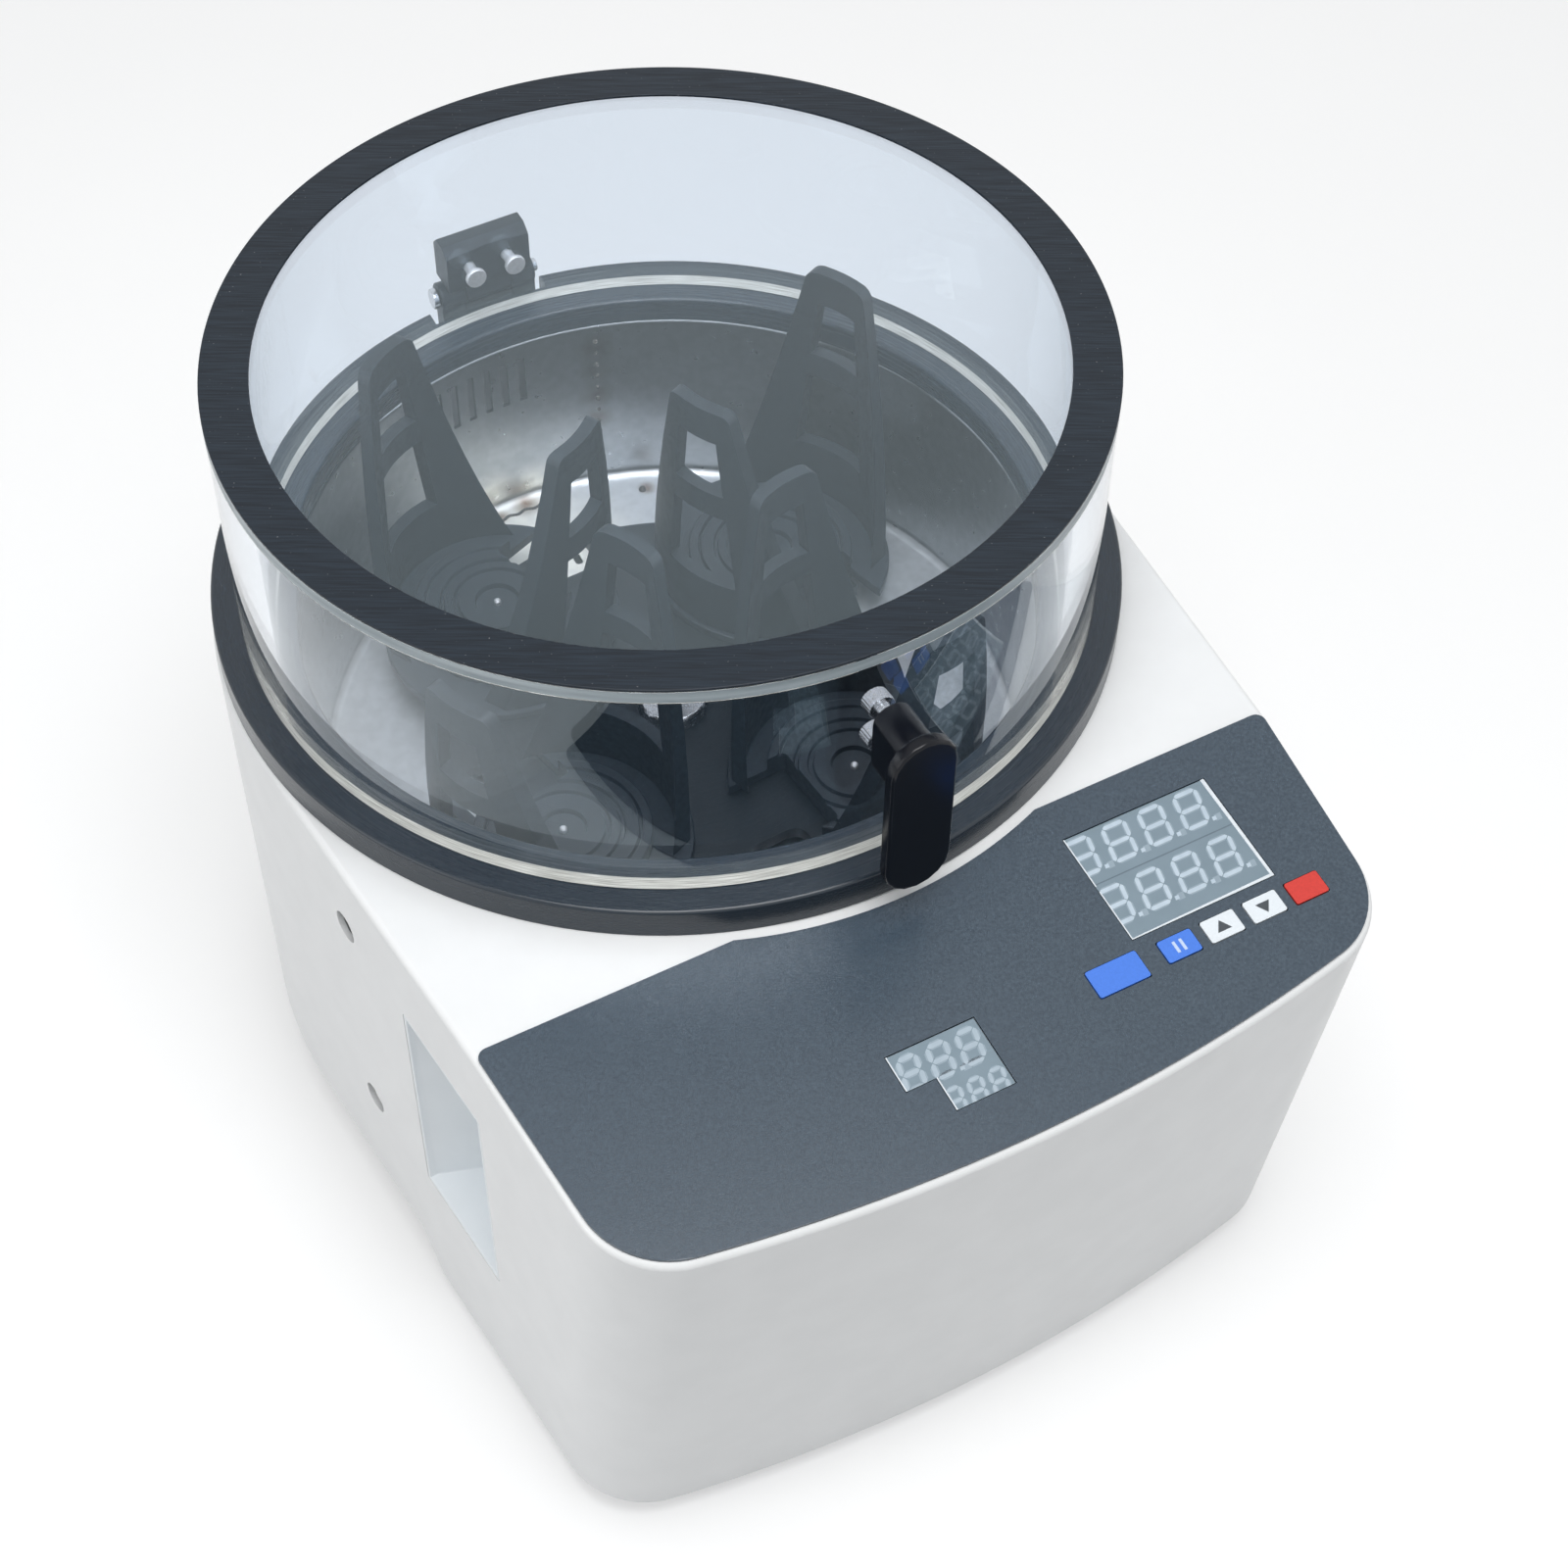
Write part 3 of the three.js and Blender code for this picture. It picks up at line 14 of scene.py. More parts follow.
import bmesh
import bpy
from bmesh.types import BMesh, BMVert
from bpy.types import Material, MeshPolygon, Node, NodeSocket, NodeTree, Object
from mathutils import Matrix, Vector
from mathutils.geometry import delaunay_2d_cdt


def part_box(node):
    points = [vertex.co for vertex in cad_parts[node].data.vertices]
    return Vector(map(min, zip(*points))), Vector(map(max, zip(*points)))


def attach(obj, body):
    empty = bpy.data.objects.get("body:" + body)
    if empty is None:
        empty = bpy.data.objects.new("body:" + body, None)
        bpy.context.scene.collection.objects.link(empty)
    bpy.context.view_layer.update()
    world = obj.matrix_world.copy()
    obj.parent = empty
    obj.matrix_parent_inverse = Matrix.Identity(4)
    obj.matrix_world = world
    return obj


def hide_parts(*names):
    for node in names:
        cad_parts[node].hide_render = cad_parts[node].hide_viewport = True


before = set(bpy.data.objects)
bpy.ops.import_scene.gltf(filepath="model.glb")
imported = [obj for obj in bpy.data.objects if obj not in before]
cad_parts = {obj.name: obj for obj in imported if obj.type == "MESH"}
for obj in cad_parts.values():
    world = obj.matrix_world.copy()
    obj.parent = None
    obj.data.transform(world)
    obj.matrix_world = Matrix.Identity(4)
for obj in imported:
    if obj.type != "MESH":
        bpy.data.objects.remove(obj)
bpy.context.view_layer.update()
LOG = logging.getLogger("mill")

MM = 0.001  # metres in a millimetre
QUARTER, HALF_TURN, FULL_TURN = 90, 180, 360  # degrees
CORNER_STEPS = 5
FINE = 3  # steps across a rounding that is seen from near
EDGE_ANGLE = 32  # degrees; sharper edges are rounded
SHARP_ANGLE = 34  # degrees; sharper edges stay sharp
FLAT_ANGLE = 0.6  # degrees; flatter edges are dissolved
NODE_WELD = 0.002  # millimetres between corners that are one
SAME_POINT = 1e-5  # millimetres; nearer points of a flat outline are one
LEAST_AREA = 0.02  # twice the area below which a clipped loop is dropped
ON_EDGE = Matrix.Rotation(-math.pi / 2, 4, "Y")  # X of a flat outline turned up
ACROSS = Matrix.Rotation(math.pi / 2, 4, "Y")  # the Z axis turned to +X

Point2 = tuple[float, float]
Point3 = tuple[float, float, float]
Colour = Point3
Loops = Sequence[Sequence[Point2]]


def axis_offset() -> Vector:
    """Where the sun wheel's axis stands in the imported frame, in metres."""
    low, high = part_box("lid_disc")
    return Vector(((low.x + high.x) / 2, (low.y + high.y) / 2, 0))


OFFSET = axis_offset()


# Finishes


GRAIN_DETAIL = 5.0
RELIEF_DETAIL = 3.0
GRAIN_SPAN = (0.35, 0.68)  # the part of the noise over which the two colours mix
ROUGHNESS_SPAN = (0.3, 0.7)  # the part of the noise over which the roughness varies
LEAST_ROUGHNESS = 0.02
TURN_LENGTH = 0.1  # metres of pattern to a radian round the axis, before it is stretched
DUST = (0.75, 0.76, 0.78)
DUST_DETAIL = 1.0
DUST_EDGE = 0.04  # how softly a speck begins
SPOT_MOTTLE_SCALE = 90.0
SMEAR_SCALE = 9.0
SMEAR_DETAIL = 1.0
SMEAR_DEPTH = 0.00001  # metres


def feed(tree: NodeTree, node: Node, inputs: dict[str | int, object]) -> Node:
    """Links a node's inputs to sockets or gives them values."""
    for name, value in inputs.items():
        if isinstance(value, NodeSocket):
            tree.links.new(value, node.inputs[name])
        else:
            node.inputs[name].default_value = value
    return node


def wired(tree: NodeTree, kind: str, inputs: dict[str | int, object], **settings: object) -> Node:
    """Adds a node with its properties set and its inputs linked or given values.

    Args:
        tree: the nodes that it joins.
        kind: its type.
        inputs: a socket or a value for each input.
        settings: a value for each property.

    Returns:
        The node.
    """
    node = tree.nodes.new(kind)
    for name, value in settings.items():
        setattr(node, name, value)
    return feed(tree, node, inputs)


def object_coordinates(tree: NodeTree) -> NodeSocket:
    """The object's own coordinates."""
    return tree.nodes.new("ShaderNodeTexCoord").outputs["Object"]


def noise(
    tree: NodeTree, coords: NodeSocket, scale: float, detail: float
) -> NodeSocket:
    """A noise texture's value at the coordinates."""
    inputs = {"Vector": coords, "Scale": scale, "Detail": detail}
    return wired(tree, "ShaderNodeTexNoise", inputs).outputs["Fac"]


def blended(
    tree: NodeTree, share: NodeSocket, first: NodeSocket, second: Colour
) -> NodeSocket:
    """First colour turned into the second by a share."""
    inputs = {"Factor": share, 6: first, 7: (*second, 1)}
    return wired(tree, "ShaderNodeMix", inputs, data_type="RGBA").outputs[2]


def relieved(
    tree: NodeTree, height: NodeSocket, distance: float, shader: Node
) -> None:
    """Gives a shader a relief of some metres."""
    bump = wired(tree, "ShaderNodeBump", {"Height": height, "Distance": distance})
    tree.links.new(bump.outputs["Normal"], shader.inputs["Normal"])


class Grain(Enum):
    """How a finish's fine pattern runs."""

    EVEN = "even"
    STRAIGHT = "straight"
    ROUND = "round the axis"


@dataclass(frozen=True)
class Finish:
    """A procedural finish: two close colours mixed by a fine grain, with its own roughness and bump."""

    name: str
    colour: Colour
    shade: Colour
    roughness: float
    spread: float = 0.06  # how far the roughness varies with the grain
    metallic: float = 0.0
    grain: Grain = Grain.EVEN
    scale: float = 300.0  # features per metre
    stretch: float = 30.0  # how much longer than wide a directed grain is
    turn: float = 0.0  # direction of a straight grain, degrees from +X
    bump: float = 0.00002  # metres
    bump_scale: float = 1500.0
    coat: float = 0.0
    specular: float = 0.5
    specks: float = 0.0  # how pale the dust specks are
    speck_level: float = 0.74  # share of the noise above which a speck shows
    speck_scale: float = 700.0

    def build(self) -> Material:
        """Makes the node material."""
        material = bpy.data.materials.new(self.name)
        material.use_nodes = True
        tree = material.node_tree
        shader = tree.nodes["Principled BSDF"]
        coords = self.coordinates(tree)
        grain = noise(tree, coords, self.scale, GRAIN_DETAIL)
        colour = self.tinted(tree, self.dusted(tree, self.mixed(tree, grain)))
        feed(tree, shader, {
            "Base Color": colour, "Roughness": self.varied(tree, grain), "Metallic": self.metallic,
            "Coat Weight": self.coat, "Specular IOR Level": self.specular,
        })
        if self.bump:
            relieved(tree, noise(tree, coords, self.bump_scale, RELIEF_DETAIL), self.bump, shader)
        return material

    def coordinates(self, tree: NodeTree) -> NodeSocket:
        """Coordinates that run as the grain does.

        Args:
            tree: the material's nodes.

        Returns:
            The socket that gives the coordinates.
        """
        source = object_coordinates(tree)
        if self.grain is Grain.STRAIGHT:
            turn = (0, 0, -math.radians(self.turn))
            along = wired(tree, "ShaderNodeMapping", {"Vector": source, "Rotation": turn}).outputs["Vector"]
            longer = (1 / self.stretch, 1, 1)
            return wired(tree, "ShaderNodeMapping", {"Vector": along, "Scale": longer}).outputs["Vector"]
        if self.grain is Grain.ROUND:
            centred = wired(tree, "ShaderNodeMapping", {"Vector": source, "Location": -OFFSET})
            return self.polar(tree, centred.outputs["Vector"])
        return source

    def polar(self, tree: NodeTree, source: NodeSocket) -> NodeSocket:
        """Coordinates whose first runs slowly round the axis.

        Args:
            tree: the material's nodes.
            source: coordinates with the axis at their origin.

        Returns:
            The socket of angle, radius and height.
        """
        split = wired(tree, "ShaderNodeSeparateXYZ", {0: source}).outputs
        angle = wired(tree, "ShaderNodeMath", {0: split["Y"], 1: split["X"]}, operation="ARCTAN2").outputs[0]
        slow = wired(tree, "ShaderNodeMath", {0: angle, 1: TURN_LENGTH / self.stretch}, operation="MULTIPLY")
        flat = wired(tree, "ShaderNodeVectorMath", {0: source, 1: (1, 1, 0)}, operation="MULTIPLY")
        radius = wired(tree, "ShaderNodeVectorMath", {0: flat.outputs["Vector"]}, operation="LENGTH")
        inputs = {"X": slow.outputs[0], "Y": radius.outputs["Value"], "Z": split["Z"]}
        return wired(tree, "ShaderNodeCombineXYZ", inputs).outputs[0]

    def mixed(self, tree: NodeTree, grain: NodeSocket) -> NodeSocket:
        """The two colours mixed by the grain."""
        ramp = wired(tree, "ShaderNodeValToRGB", {"Fac": grain})
        for element, place, colour in zip(ramp.color_ramp.elements, GRAIN_SPAN, (self.shade, self.colour)):
            element.position = place
            element.color = (*colour, 1)
        return ramp.outputs["Color"]

    def dusted(self, tree: NodeTree, colour: NodeSocket) -> NodeSocket:
        """The colour with pale specks of dust, where the finish has them."""
        if not self.specks:
            return colour
        value = noise(tree, object_coordinates(tree), self.speck_scale, DUST_DETAIL)
        inputs = {
            "Value": value, "From Min": self.speck_level, "From Max": self.speck_level + DUST_EDGE,
            "To Max": self.specks,
        }
        return blended(tree, wired(tree, "ShaderNodeMapRange", inputs).outputs["Result"], colour, DUST)

    def tinted(self, tree: NodeTree, colour: NodeSocket) -> NodeSocket:
        """The colour unchanged; a finish with a local tint says otherwise."""
        return colour

    def varied(self, tree: NodeTree, grain: NodeSocket) -> NodeSocket:
        """The roughness, varied by the grain."""
        inputs = {
            "Value": grain, "From Min": ROUGHNESS_SPAN[0], "From Max": ROUGHNESS_SPAN[1],
            "To Min": self.roughness + self.spread,
            "To Max": max(self.roughness - self.spread, LEAST_ROUGHNESS),
        }
        return wired(tree, "ShaderNodeMapRange", inputs).outputs["Result"]


@dataclass(frozen=True)
class Spot:
    """A round patch of another colour on steel: a brown weld burn by default, or a pale patch of painted
    light; lengths in millimetres.
    """

    place: Point3
    reach: float
    colour: Colour = (0.16, 0.09, 0.05)
    strength: float = 1.6


@dataclass(frozen=True)
class HeatTintAndPaintedLight(Finish):
    """Steel with brown burns where it was welded, and pale patches of painted light where light pools low in
    the bowl.
    """

    spots: tuple[Spot, ...] = ()

    def tinted(self, tree: NodeTree, colour: NodeSocket) -> NodeSocket:
        """The colour changed round each spot."""
        coords = object_coordinates(tree)
        # mottles every spot alike, the weld burns and the patches of painted light
        uneven = noise(tree, coords, SPOT_MOTTLE_SCALE, RELIEF_DETAIL)
        for spot in self.spots:
            middle = Vector(spot.place) * MM + OFFSET
            away = wired(tree, "ShaderNodeVectorMath", {0: coords, 1: middle}, operation="DISTANCE")
            inputs = {
                "Value": away.outputs["Value"], "From Min": spot.reach * MM, "From Max": 0.0,
                "To Max": spot.strength,
            }
            near = wired(tree, "ShaderNodeMapRange", inputs, interpolation_type="SMOOTHSTEP")
            shares = {0: near.outputs["Result"], 1: uneven}
            patchy = wired(tree, "ShaderNodeMath", shares, operation="MULTIPLY", use_clamp=True)
            colour = blended(tree, patchy.outputs[0], colour, spot.colour)
        return colour


@dataclass(frozen=True)
class Acrylic:
    """Clear acrylic that lets lamps through."""

    name: str
    colour: Colour = (0.88, 0.93, 0.985)
    roughness: float = 0.01
    ior: float = 1.58
    sheen: Colour = (0.74, 0.92, 1.0)  # painted blue tint of what it mirrors
    passed: Colour = (0.95, 0.96, 0.975)  # what a lamp's light keeps

    def build(self) -> Material:
        """Makes the node material."""
        material = bpy.data.materials.new(self.name)
        material.use_nodes = True
        tree = material.node_tree
        shader = tree.nodes["Principled BSDF"]
        feed(tree, shader, {
            "Base Color": (*self.colour, 1), "Roughness": self.roughness, "IOR": self.ior,
            "Specular Tint": (*self.sheen, 1), "Transmission Weight": 1.0,
        })
        smear = noise(tree, object_coordinates(tree), SMEAR_SCALE, SMEAR_DETAIL)
        relieved(tree, smear, SMEAR_DEPTH, shader)
        clear = wired(tree, "ShaderNodeBsdfTransparent", {"Color": (*self.passed, 1)})
        shadow = tree.nodes.new("ShaderNodeLightPath").outputs["Is Shadow Ray"]
        choice = wired(tree, "ShaderNodeMixShader", {0: shadow, 1: shader.outputs[0], 2: clear.outputs[0]})
        tree.links.new(choice.outputs[0], tree.nodes["Material Output"].inputs["Surface"])
        return material


WHITE_PAINT = Finish(
    "white_paint", (0.86, 0.868, 0.872), (0.84, 0.848, 0.852), 0.34, spread=0.03, scale=60, bump=0.000012,
    bump_scale=900, coat=0.1,
)
# The pocket pan's paint: a lighter, bluer copy of the housing's white paint, which is painted light on the
# pocket's back.
PAN_PAINT_PAINTED_LIGHT = Finish(
    "pan_paint_painted_light", (0.89, 0.925, 0.95), (0.87, 0.905, 0.93), 0.34, spread=0.03, scale=60, bump=0.000012,
    bump_scale=900, coat=0.1,
)
BLACK_RING = Finish(
    "black_ring", (0.016, 0.026, 0.038), (0.013, 0.022, 0.033), 0.27, spread=0.02, grain=Grain.ROUND,
    scale=900, bump=0.000002, specks=0.12, speck_level=0.8,
)
BLACK_BRUSHED = Finish(
    "black_brushed_band", (0.012, 0.021, 0.033), (0.003, 0.007, 0.013), 0.42, grain=Grain.STRAIGHT,
    scale=1400, stretch=22, turn=-29, bump=0.00002, bump_scale=1400, specks=0.22, speck_level=0.75,
    speck_scale=1100, specular=0.3,
)
BLACK_ANODISED = Finish(
    "black_anodised", (0.014, 0.021, 0.028), (0.008, 0.013, 0.018), 0.48, metallic=0.1, scale=420,
    bump=0.000004, specks=0.10, speck_level=0.78,
)
BLACK_WHEEL = Finish(
    "black_wheel", (0.014, 0.018, 0.022), (0.009, 0.012, 0.015), 0.36, metallic=0.3, grain=Grain.ROUND,
    scale=1100, bump=0.000015,
)
BLACK_GLOSS = Finish(
    "black_handle", (0.003, 0.004, 0.008), (0.002, 0.003, 0.006), 0.2, spread=0.02, scale=500,
    bump=0.000002, specular=0.28,
)
STEEL_BOWL = HeatTintAndPaintedLight(
    "bowl_steel", (0.44, 0.46, 0.48), (0.38, 0.40, 0.42), 0.3, spread=0.03, metallic=1.0, scale=240,
    bump=0.000004, bump_scale=900,
    spots=(
        # The two pale cream spots low on the wall are painted light pooling where the wall meets the floor;
        # the brown spots down the wall are the weld's burns.
        Spot((-14, 131, 144), 18, (0.86, 0.84, 0.76), 2.0), Spot((6, 131, 143), 16, (0.86, 0.84, 0.76), 2.0),
        Spot((34, 128, 208), 11, strength=1.2), Spot((34, 128, 196), 9, strength=1.0),
        Spot((34, 128, 184), 9, strength=1.0), Spot((34, 128, 172), 8, strength=0.8),
    ),
)
# The floor's upward faces: a paler, less metallic copy of the bowl's steel, painted light from above. Its
# large cream spot is a painted pool of light; the small brown spots are burns at the floor's welds.
STEEL_FLOOR_PAINTED_LIGHT = HeatTintAndPaintedLight(
    "bowl_floor_steel_painted_light", (0.56, 0.57, 0.58), (0.48, 0.49, 0.50), 0.34, spread=0.03, metallic=0.55, scale=240,
    bump=0.000004, bump_scale=900,
    spots=(
        Spot((-8, 96, 137), 52, (0.92, 0.89, 0.80), 2.4), Spot((0, 127, 139), 8), Spot((-12, 126, 139), 5),
        Spot((47, 113, 139), 5),
    ),
)
WELD_STEEL = Finish(
    "weld_steel", (0.10, 0.09, 0.08), (0.05, 0.045, 0.04), 0.8, metallic=0.1, scale=600, bump=0.00003,
)
SATIN_STEEL = Finish(
    "satin_steel", (0.82, 0.82, 0.83), (0.72, 0.72, 0.73), 0.5, metallic=0.8, scale=700, bump=0.000005,
)
BLACK_SEAT = Finish(
    "black_seat", (0.016, 0.023, 0.030), (0.011, 0.016, 0.022), 0.44, metallic=0.1, scale=420, bump=0.000004,
)
BRIGHT_STEEL = Finish(
    "bright_steel", (0.72, 0.72, 0.73), (0.6, 0.6, 0.61), 0.24, metallic=1.0, scale=700, bump=0.000005,
)
ZINC_STEEL = Finish(
    "zinc_steel", (0.52, 0.53, 0.55), (0.4, 0.41, 0.43), 0.42, metallic=1.0, scale=180, bump=0.000015,
)
CAST_METAL = Finish(
    "cast_aluminium", (0.55, 0.56, 0.57), (0.45, 0.46, 0.47), 0.5, metallic=1.0, scale=350, bump=0.00005,
    bump_scale=700,
)
RUBBER = Finish("foot_rubber", (0.03, 0.03, 0.03), (0.02, 0.02, 0.02), 0.85, scale=400, bump=0.00004)
OVERLAY_FILM = Finish(
    "overlay_film", (0.060, 0.088, 0.118), (0.029, 0.048, 0.071), 0.26, scale=950, bump=0.00003,
    bump_scale=2400, specular=0.55,
)
DISPLAY_FILM = Finish(
    "display_film", (0.215, 0.282, 0.332), (0.192, 0.256, 0.302), 0.35, scale=70, bump=0.0, specular=0.4,
)
DIGIT_FILM = Finish("digit_film", (0.53, 0.62, 0.70), (0.46, 0.55, 0.63), 0.4, scale=300, bump=0.0)
DIGIT_SOFT = Finish("digit_soft", (0.41, 0.49, 0.555), (0.37, 0.45, 0.515), 0.4, scale=300, bump=0.0)
DIGIT_HALO = Finish("digit_halo", (0.30, 0.375, 0.435), (0.27, 0.34, 0.40), 0.4, scale=300, bump=0.0)
WINDOW_SEAM = Finish("window_seam", (0.13, 0.175, 0.215), (0.11, 0.155, 0.195), 0.4, scale=300, bump=0.0)
WINDOW_EDGE = Finish("window_edge", (0.78, 0.83, 0.87), (0.68, 0.73, 0.77), 0.35, scale=300, bump=0.0)
BLUE_KEY = Finish("blue_key", (0.060, 0.205, 0.76), (0.054, 0.188, 0.70), 0.5, scale=1200, bump=0.00001)
WHITE_KEY = Finish("white_key", (0.78, 0.83, 0.87), (0.74, 0.79, 0.83), 0.5, scale=1200, bump=0.00001)
RED_KEY = Finish("red_key", (0.66, 0.042, 0.03), (0.58, 0.035, 0.025), 0.5, scale=1200, bump=0.00001)
MARK_WHITE = Finish("mark_white", (0.55, 0.66, 0.86), (0.5, 0.61, 0.82), 0.5, scale=900, bump=0.0)
MARK_DARK = Finish("mark_dark", (0.05, 0.06, 0.07), (0.04, 0.05, 0.06), 0.5, scale=900, bump=0.0)
BLACK_MOULDED = Finish(
    "black_moulded", (0.016, 0.016, 0.017), (0.011, 0.011, 0.012), 0.45, scale=900, bump=0.00002,
)
BOARD_GREEN = Finish("board_green", (0.02, 0.12, 0.05), (0.015, 0.09, 0.04), 0.4, scale=250, bump=0.00001)
CLEAR_ACRYLIC = Acrylic("clear_acrylic")
MILLED_ACRYLIC = Finish(
    "milled_acrylic", (0.84, 0.83, 0.76), (0.34, 0.33, 0.29), 0.4, grain=Grain.ROUND, scale=1500,
    stretch=14, bump=0.00003, bump_scale=900,
)
FROSTED_ACRYLIC = Finish(
    "frosted_edge", (0.42, 0.48, 0.51), (0.26, 0.31, 0.34), 0.35, grain=Grain.ROUND, scale=500, stretch=14,
    bump=0.00003, bump_scale=500,
)


class Shop:
    """Makes each material once and hands pieces over to the frame."""

    def __init__(self) -> None:
        """Starts with no materials."""
        self.materials: dict[str, Material] = {}

    def material(self, finish: Finish | Acrylic) -> Material:
        """The material of a finish, made on first use."""
        if finish.name not in self.materials:
            self.materials[finish.name] = finish.build()
        return self.materials[finish.name]

    def dress(self, node: str, finish: Finish | Acrylic) -> None:
        """Gives a carried-over node its finish."""
        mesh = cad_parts[node].data
        mesh.materials.clear()
        mesh.materials.append(self.material(finish))

    def hand_over(
        self,
        piece: Object,
        body: str,
        slot: str,
        *finishes: Finish | Acrylic,
        replaces: Iterable[str] = (),
    ) -> None:
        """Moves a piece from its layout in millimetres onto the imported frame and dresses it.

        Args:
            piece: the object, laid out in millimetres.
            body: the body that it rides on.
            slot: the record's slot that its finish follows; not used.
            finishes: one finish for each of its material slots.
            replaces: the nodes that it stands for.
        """
        piece.data.transform(Matrix.Translation(OFFSET) @ Matrix.Scale(MM, 4))
        for finish in finishes:
            piece.data.materials.append(self.material(finish))
        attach(piece, body)
        nodes = list(replaces)
        if nodes:
            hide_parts(*nodes)
        LOG.info("%s on %s: %d faces", piece.name, body, len(piece.data.polygons))


SHOP = Shop()


# Mesh making, in millimetres


def object_from(mesh: BMesh, name: str) -> Object:
    """Turns a bmesh into a linked object and frees it."""
    data = bpy.data.meshes.new(name)
    mesh.to_mesh(data)
    mesh.free()
    piece = bpy.data.objects.new(name, data)
    bpy.context.scene.collection.objects.link(piece)
    return piece


def settle(piece: Object) -> Object:
    """Applies the modifiers of a piece to its mesh."""
    bpy.context.view_layer.update()
    graph = bpy.context.evaluated_depsgraph_get()
    applied = bpy.data.meshes.new_from_object(piece.evaluated_get(graph))
    piece.modifiers.clear()
    piece.data = applied
    return piece


def soften(piece: Object, width: float, segments: int = 2) -> Object:
    """Rounds the piece's edges and evens its shading.

    Args:
        piece: the object to round.
        width: the rounding in millimetres.
        segments: steps across the rounding.

    Returns:
        The piece.
    """
    bevel = piece.modifiers.new("round", "BEVEL")
    bevel.width = width
    bevel.segments = segments
    bevel.limit_method = "ANGLE"
    bevel.angle_limit = math.radians(EDGE_ANGLE)
    bevel.miter_outer = "MITER_ARC"
    bevel.harden_normals = False
    settle(piece)
    return smooth(piece)


def smooth(piece: Object, angle: float = SHARP_ANGLE) -> Object:
    """Shades a piece smooth, but for edges sharper than an angle in degrees."""
    mesh = piece.data
    mesh.polygons.foreach_set("use_smooth", [True] * len(mesh.polygons))
    mesh.set_sharp_from_angle(angle=math.radians(angle))
    weighted = piece.modifiers.new("weighted", "WEIGHTED_NORMAL")
    weighted.keep_sharp = True
    weighted.mode = "FACE_AREA"
    return settle(piece)


def trim(piece: Object, cutters: Sequence[Object]) -> Object:
    """Cuts closed objects, which are used up, out of a piece."""
    for cutter in cutters:
        boolean = piece.modifiers.new("cut", "BOOLEAN")
        boolean.solver = "EXACT"
        boolean.operation = "DIFFERENCE"
        boolean.object = cutter
    settle(piece)
    for cutter in cutters:
        bpy.data.objects.remove(cutter)
    return piece


def turned(name: str, profile: Sequence[Point2], steps: int) -> Object:
    """A solid of revolution about Z.

    Args:
        name: the object's name.
        profile: radius and height of each corner, anticlockwise.
        steps: sides of the round.

    Returns:
        The object.
    """
    mesh = bmesh.new()
    angles = [2 * math.pi * i / steps for i in range(steps)]
    rings: list[list[BMVert]] = []
    for radius, height in profile:
        if radius == 0:
            rings.append([mesh.verts.new((0, 0, height))] * steps)
            continue
        rings.append([mesh.verts.new((radius * math.cos(a), radius * math.sin(a), height)) for a in angles])
    for lower, upper in zip(rings, rings[1:] + rings[:1]):
        for i in range(steps):
            j = (i + 1) % steps
            corners = list(dict.fromkeys((lower[i], lower[j], upper[j], upper[i])))
            if len(corners) > 2:
                mesh.faces.new(corners)
    return object_from(mesh, name)


def arc(x: float, y: float, radius: float, start: float, end: float, steps: int) -> list[Point2]:
    """Points of an arc, ends included; angles in degrees."""
    angles = [math.radians(start + (end - start) * i / steps) for i in range(steps + 1)]
    return [(x + radius * math.cos(a), y + radius * math.sin(a)) for a in angles]


def rectangle(left: float, right: float, front: float, rear: float) -> list[Point2]:
    """A rectangle, anticlockwise."""
    return [(left, front), (right, front), (right, rear), (left, rear)]


def rounded(
    left: float, right: float, front: float, rear: float, corner: float, steps: int = CORNER_STEPS
) -> list[Point2]:
    """A rectangle with round corners, anticlockwise."""
    return [
        *arc(right - corner, rear - corner, corner, 0, QUARTER, steps),
        *arc(left + corner, rear - corner, corner, QUARTER, HALF_TURN, steps),
        *arc(left + corner, front + corner, corner, HALF_TURN, HALF_TURN + QUARTER, steps),
        *arc(right - corner, front + corner, corner, HALF_TURN + QUARTER, FULL_TURN, steps),
    ]


def area(loop: Sequence[Point2]) -> float:
    """Twice the signed area of a loop."""
    return sum(a[0] * b[1] - b[0] * a[1] for a, b in zip(loop, [*loop[1:], loop[0]]))


def wound(loop: Sequence[Point2], anticlockwise: bool) -> list[Point2]:
    """The loop, run the way that is asked for."""
    return list(loop) if (area(loop) > 0) == anticlockwise else list(loop)[::-1]


def capped(
    outline: Sequence[Point2], holes: Loops
) -> tuple[list[Point2], list[list[int]]]:
    """Fills an outline, less its holes, with triangles.

    Args:
        outline: the outer loop.
        holes: the inner loops.

    Returns:
        The points, in the loops' order, and the triangles, anticlockwise.
    """
    loops = [list(outline), *[list(hole) for hole in holes]]
    points = [Vector(point) for loop in loops for point in loop]
    faces, start = [], 0
    for loop in loops:
        faces.append(list(range(start, start + len(loop))))
        start += len(loop)
    made, _, triangles, origins, _, _ = delaunay_2d_cdt(points, [], faces, 2, SAME_POINT)
    back = {i: origin[0] for i, origin in enumerate(origins) if origin}
    within = [[back[i] for i in triangle] for triangle in triangles if all(i in back for i in triangle)]
    assert len(made) == len(points)
    turned_up = [t if area([points[i] for i in t]) > 0 else t[::-1] for t in within]
    return [tuple(point) for point in points], turned_up


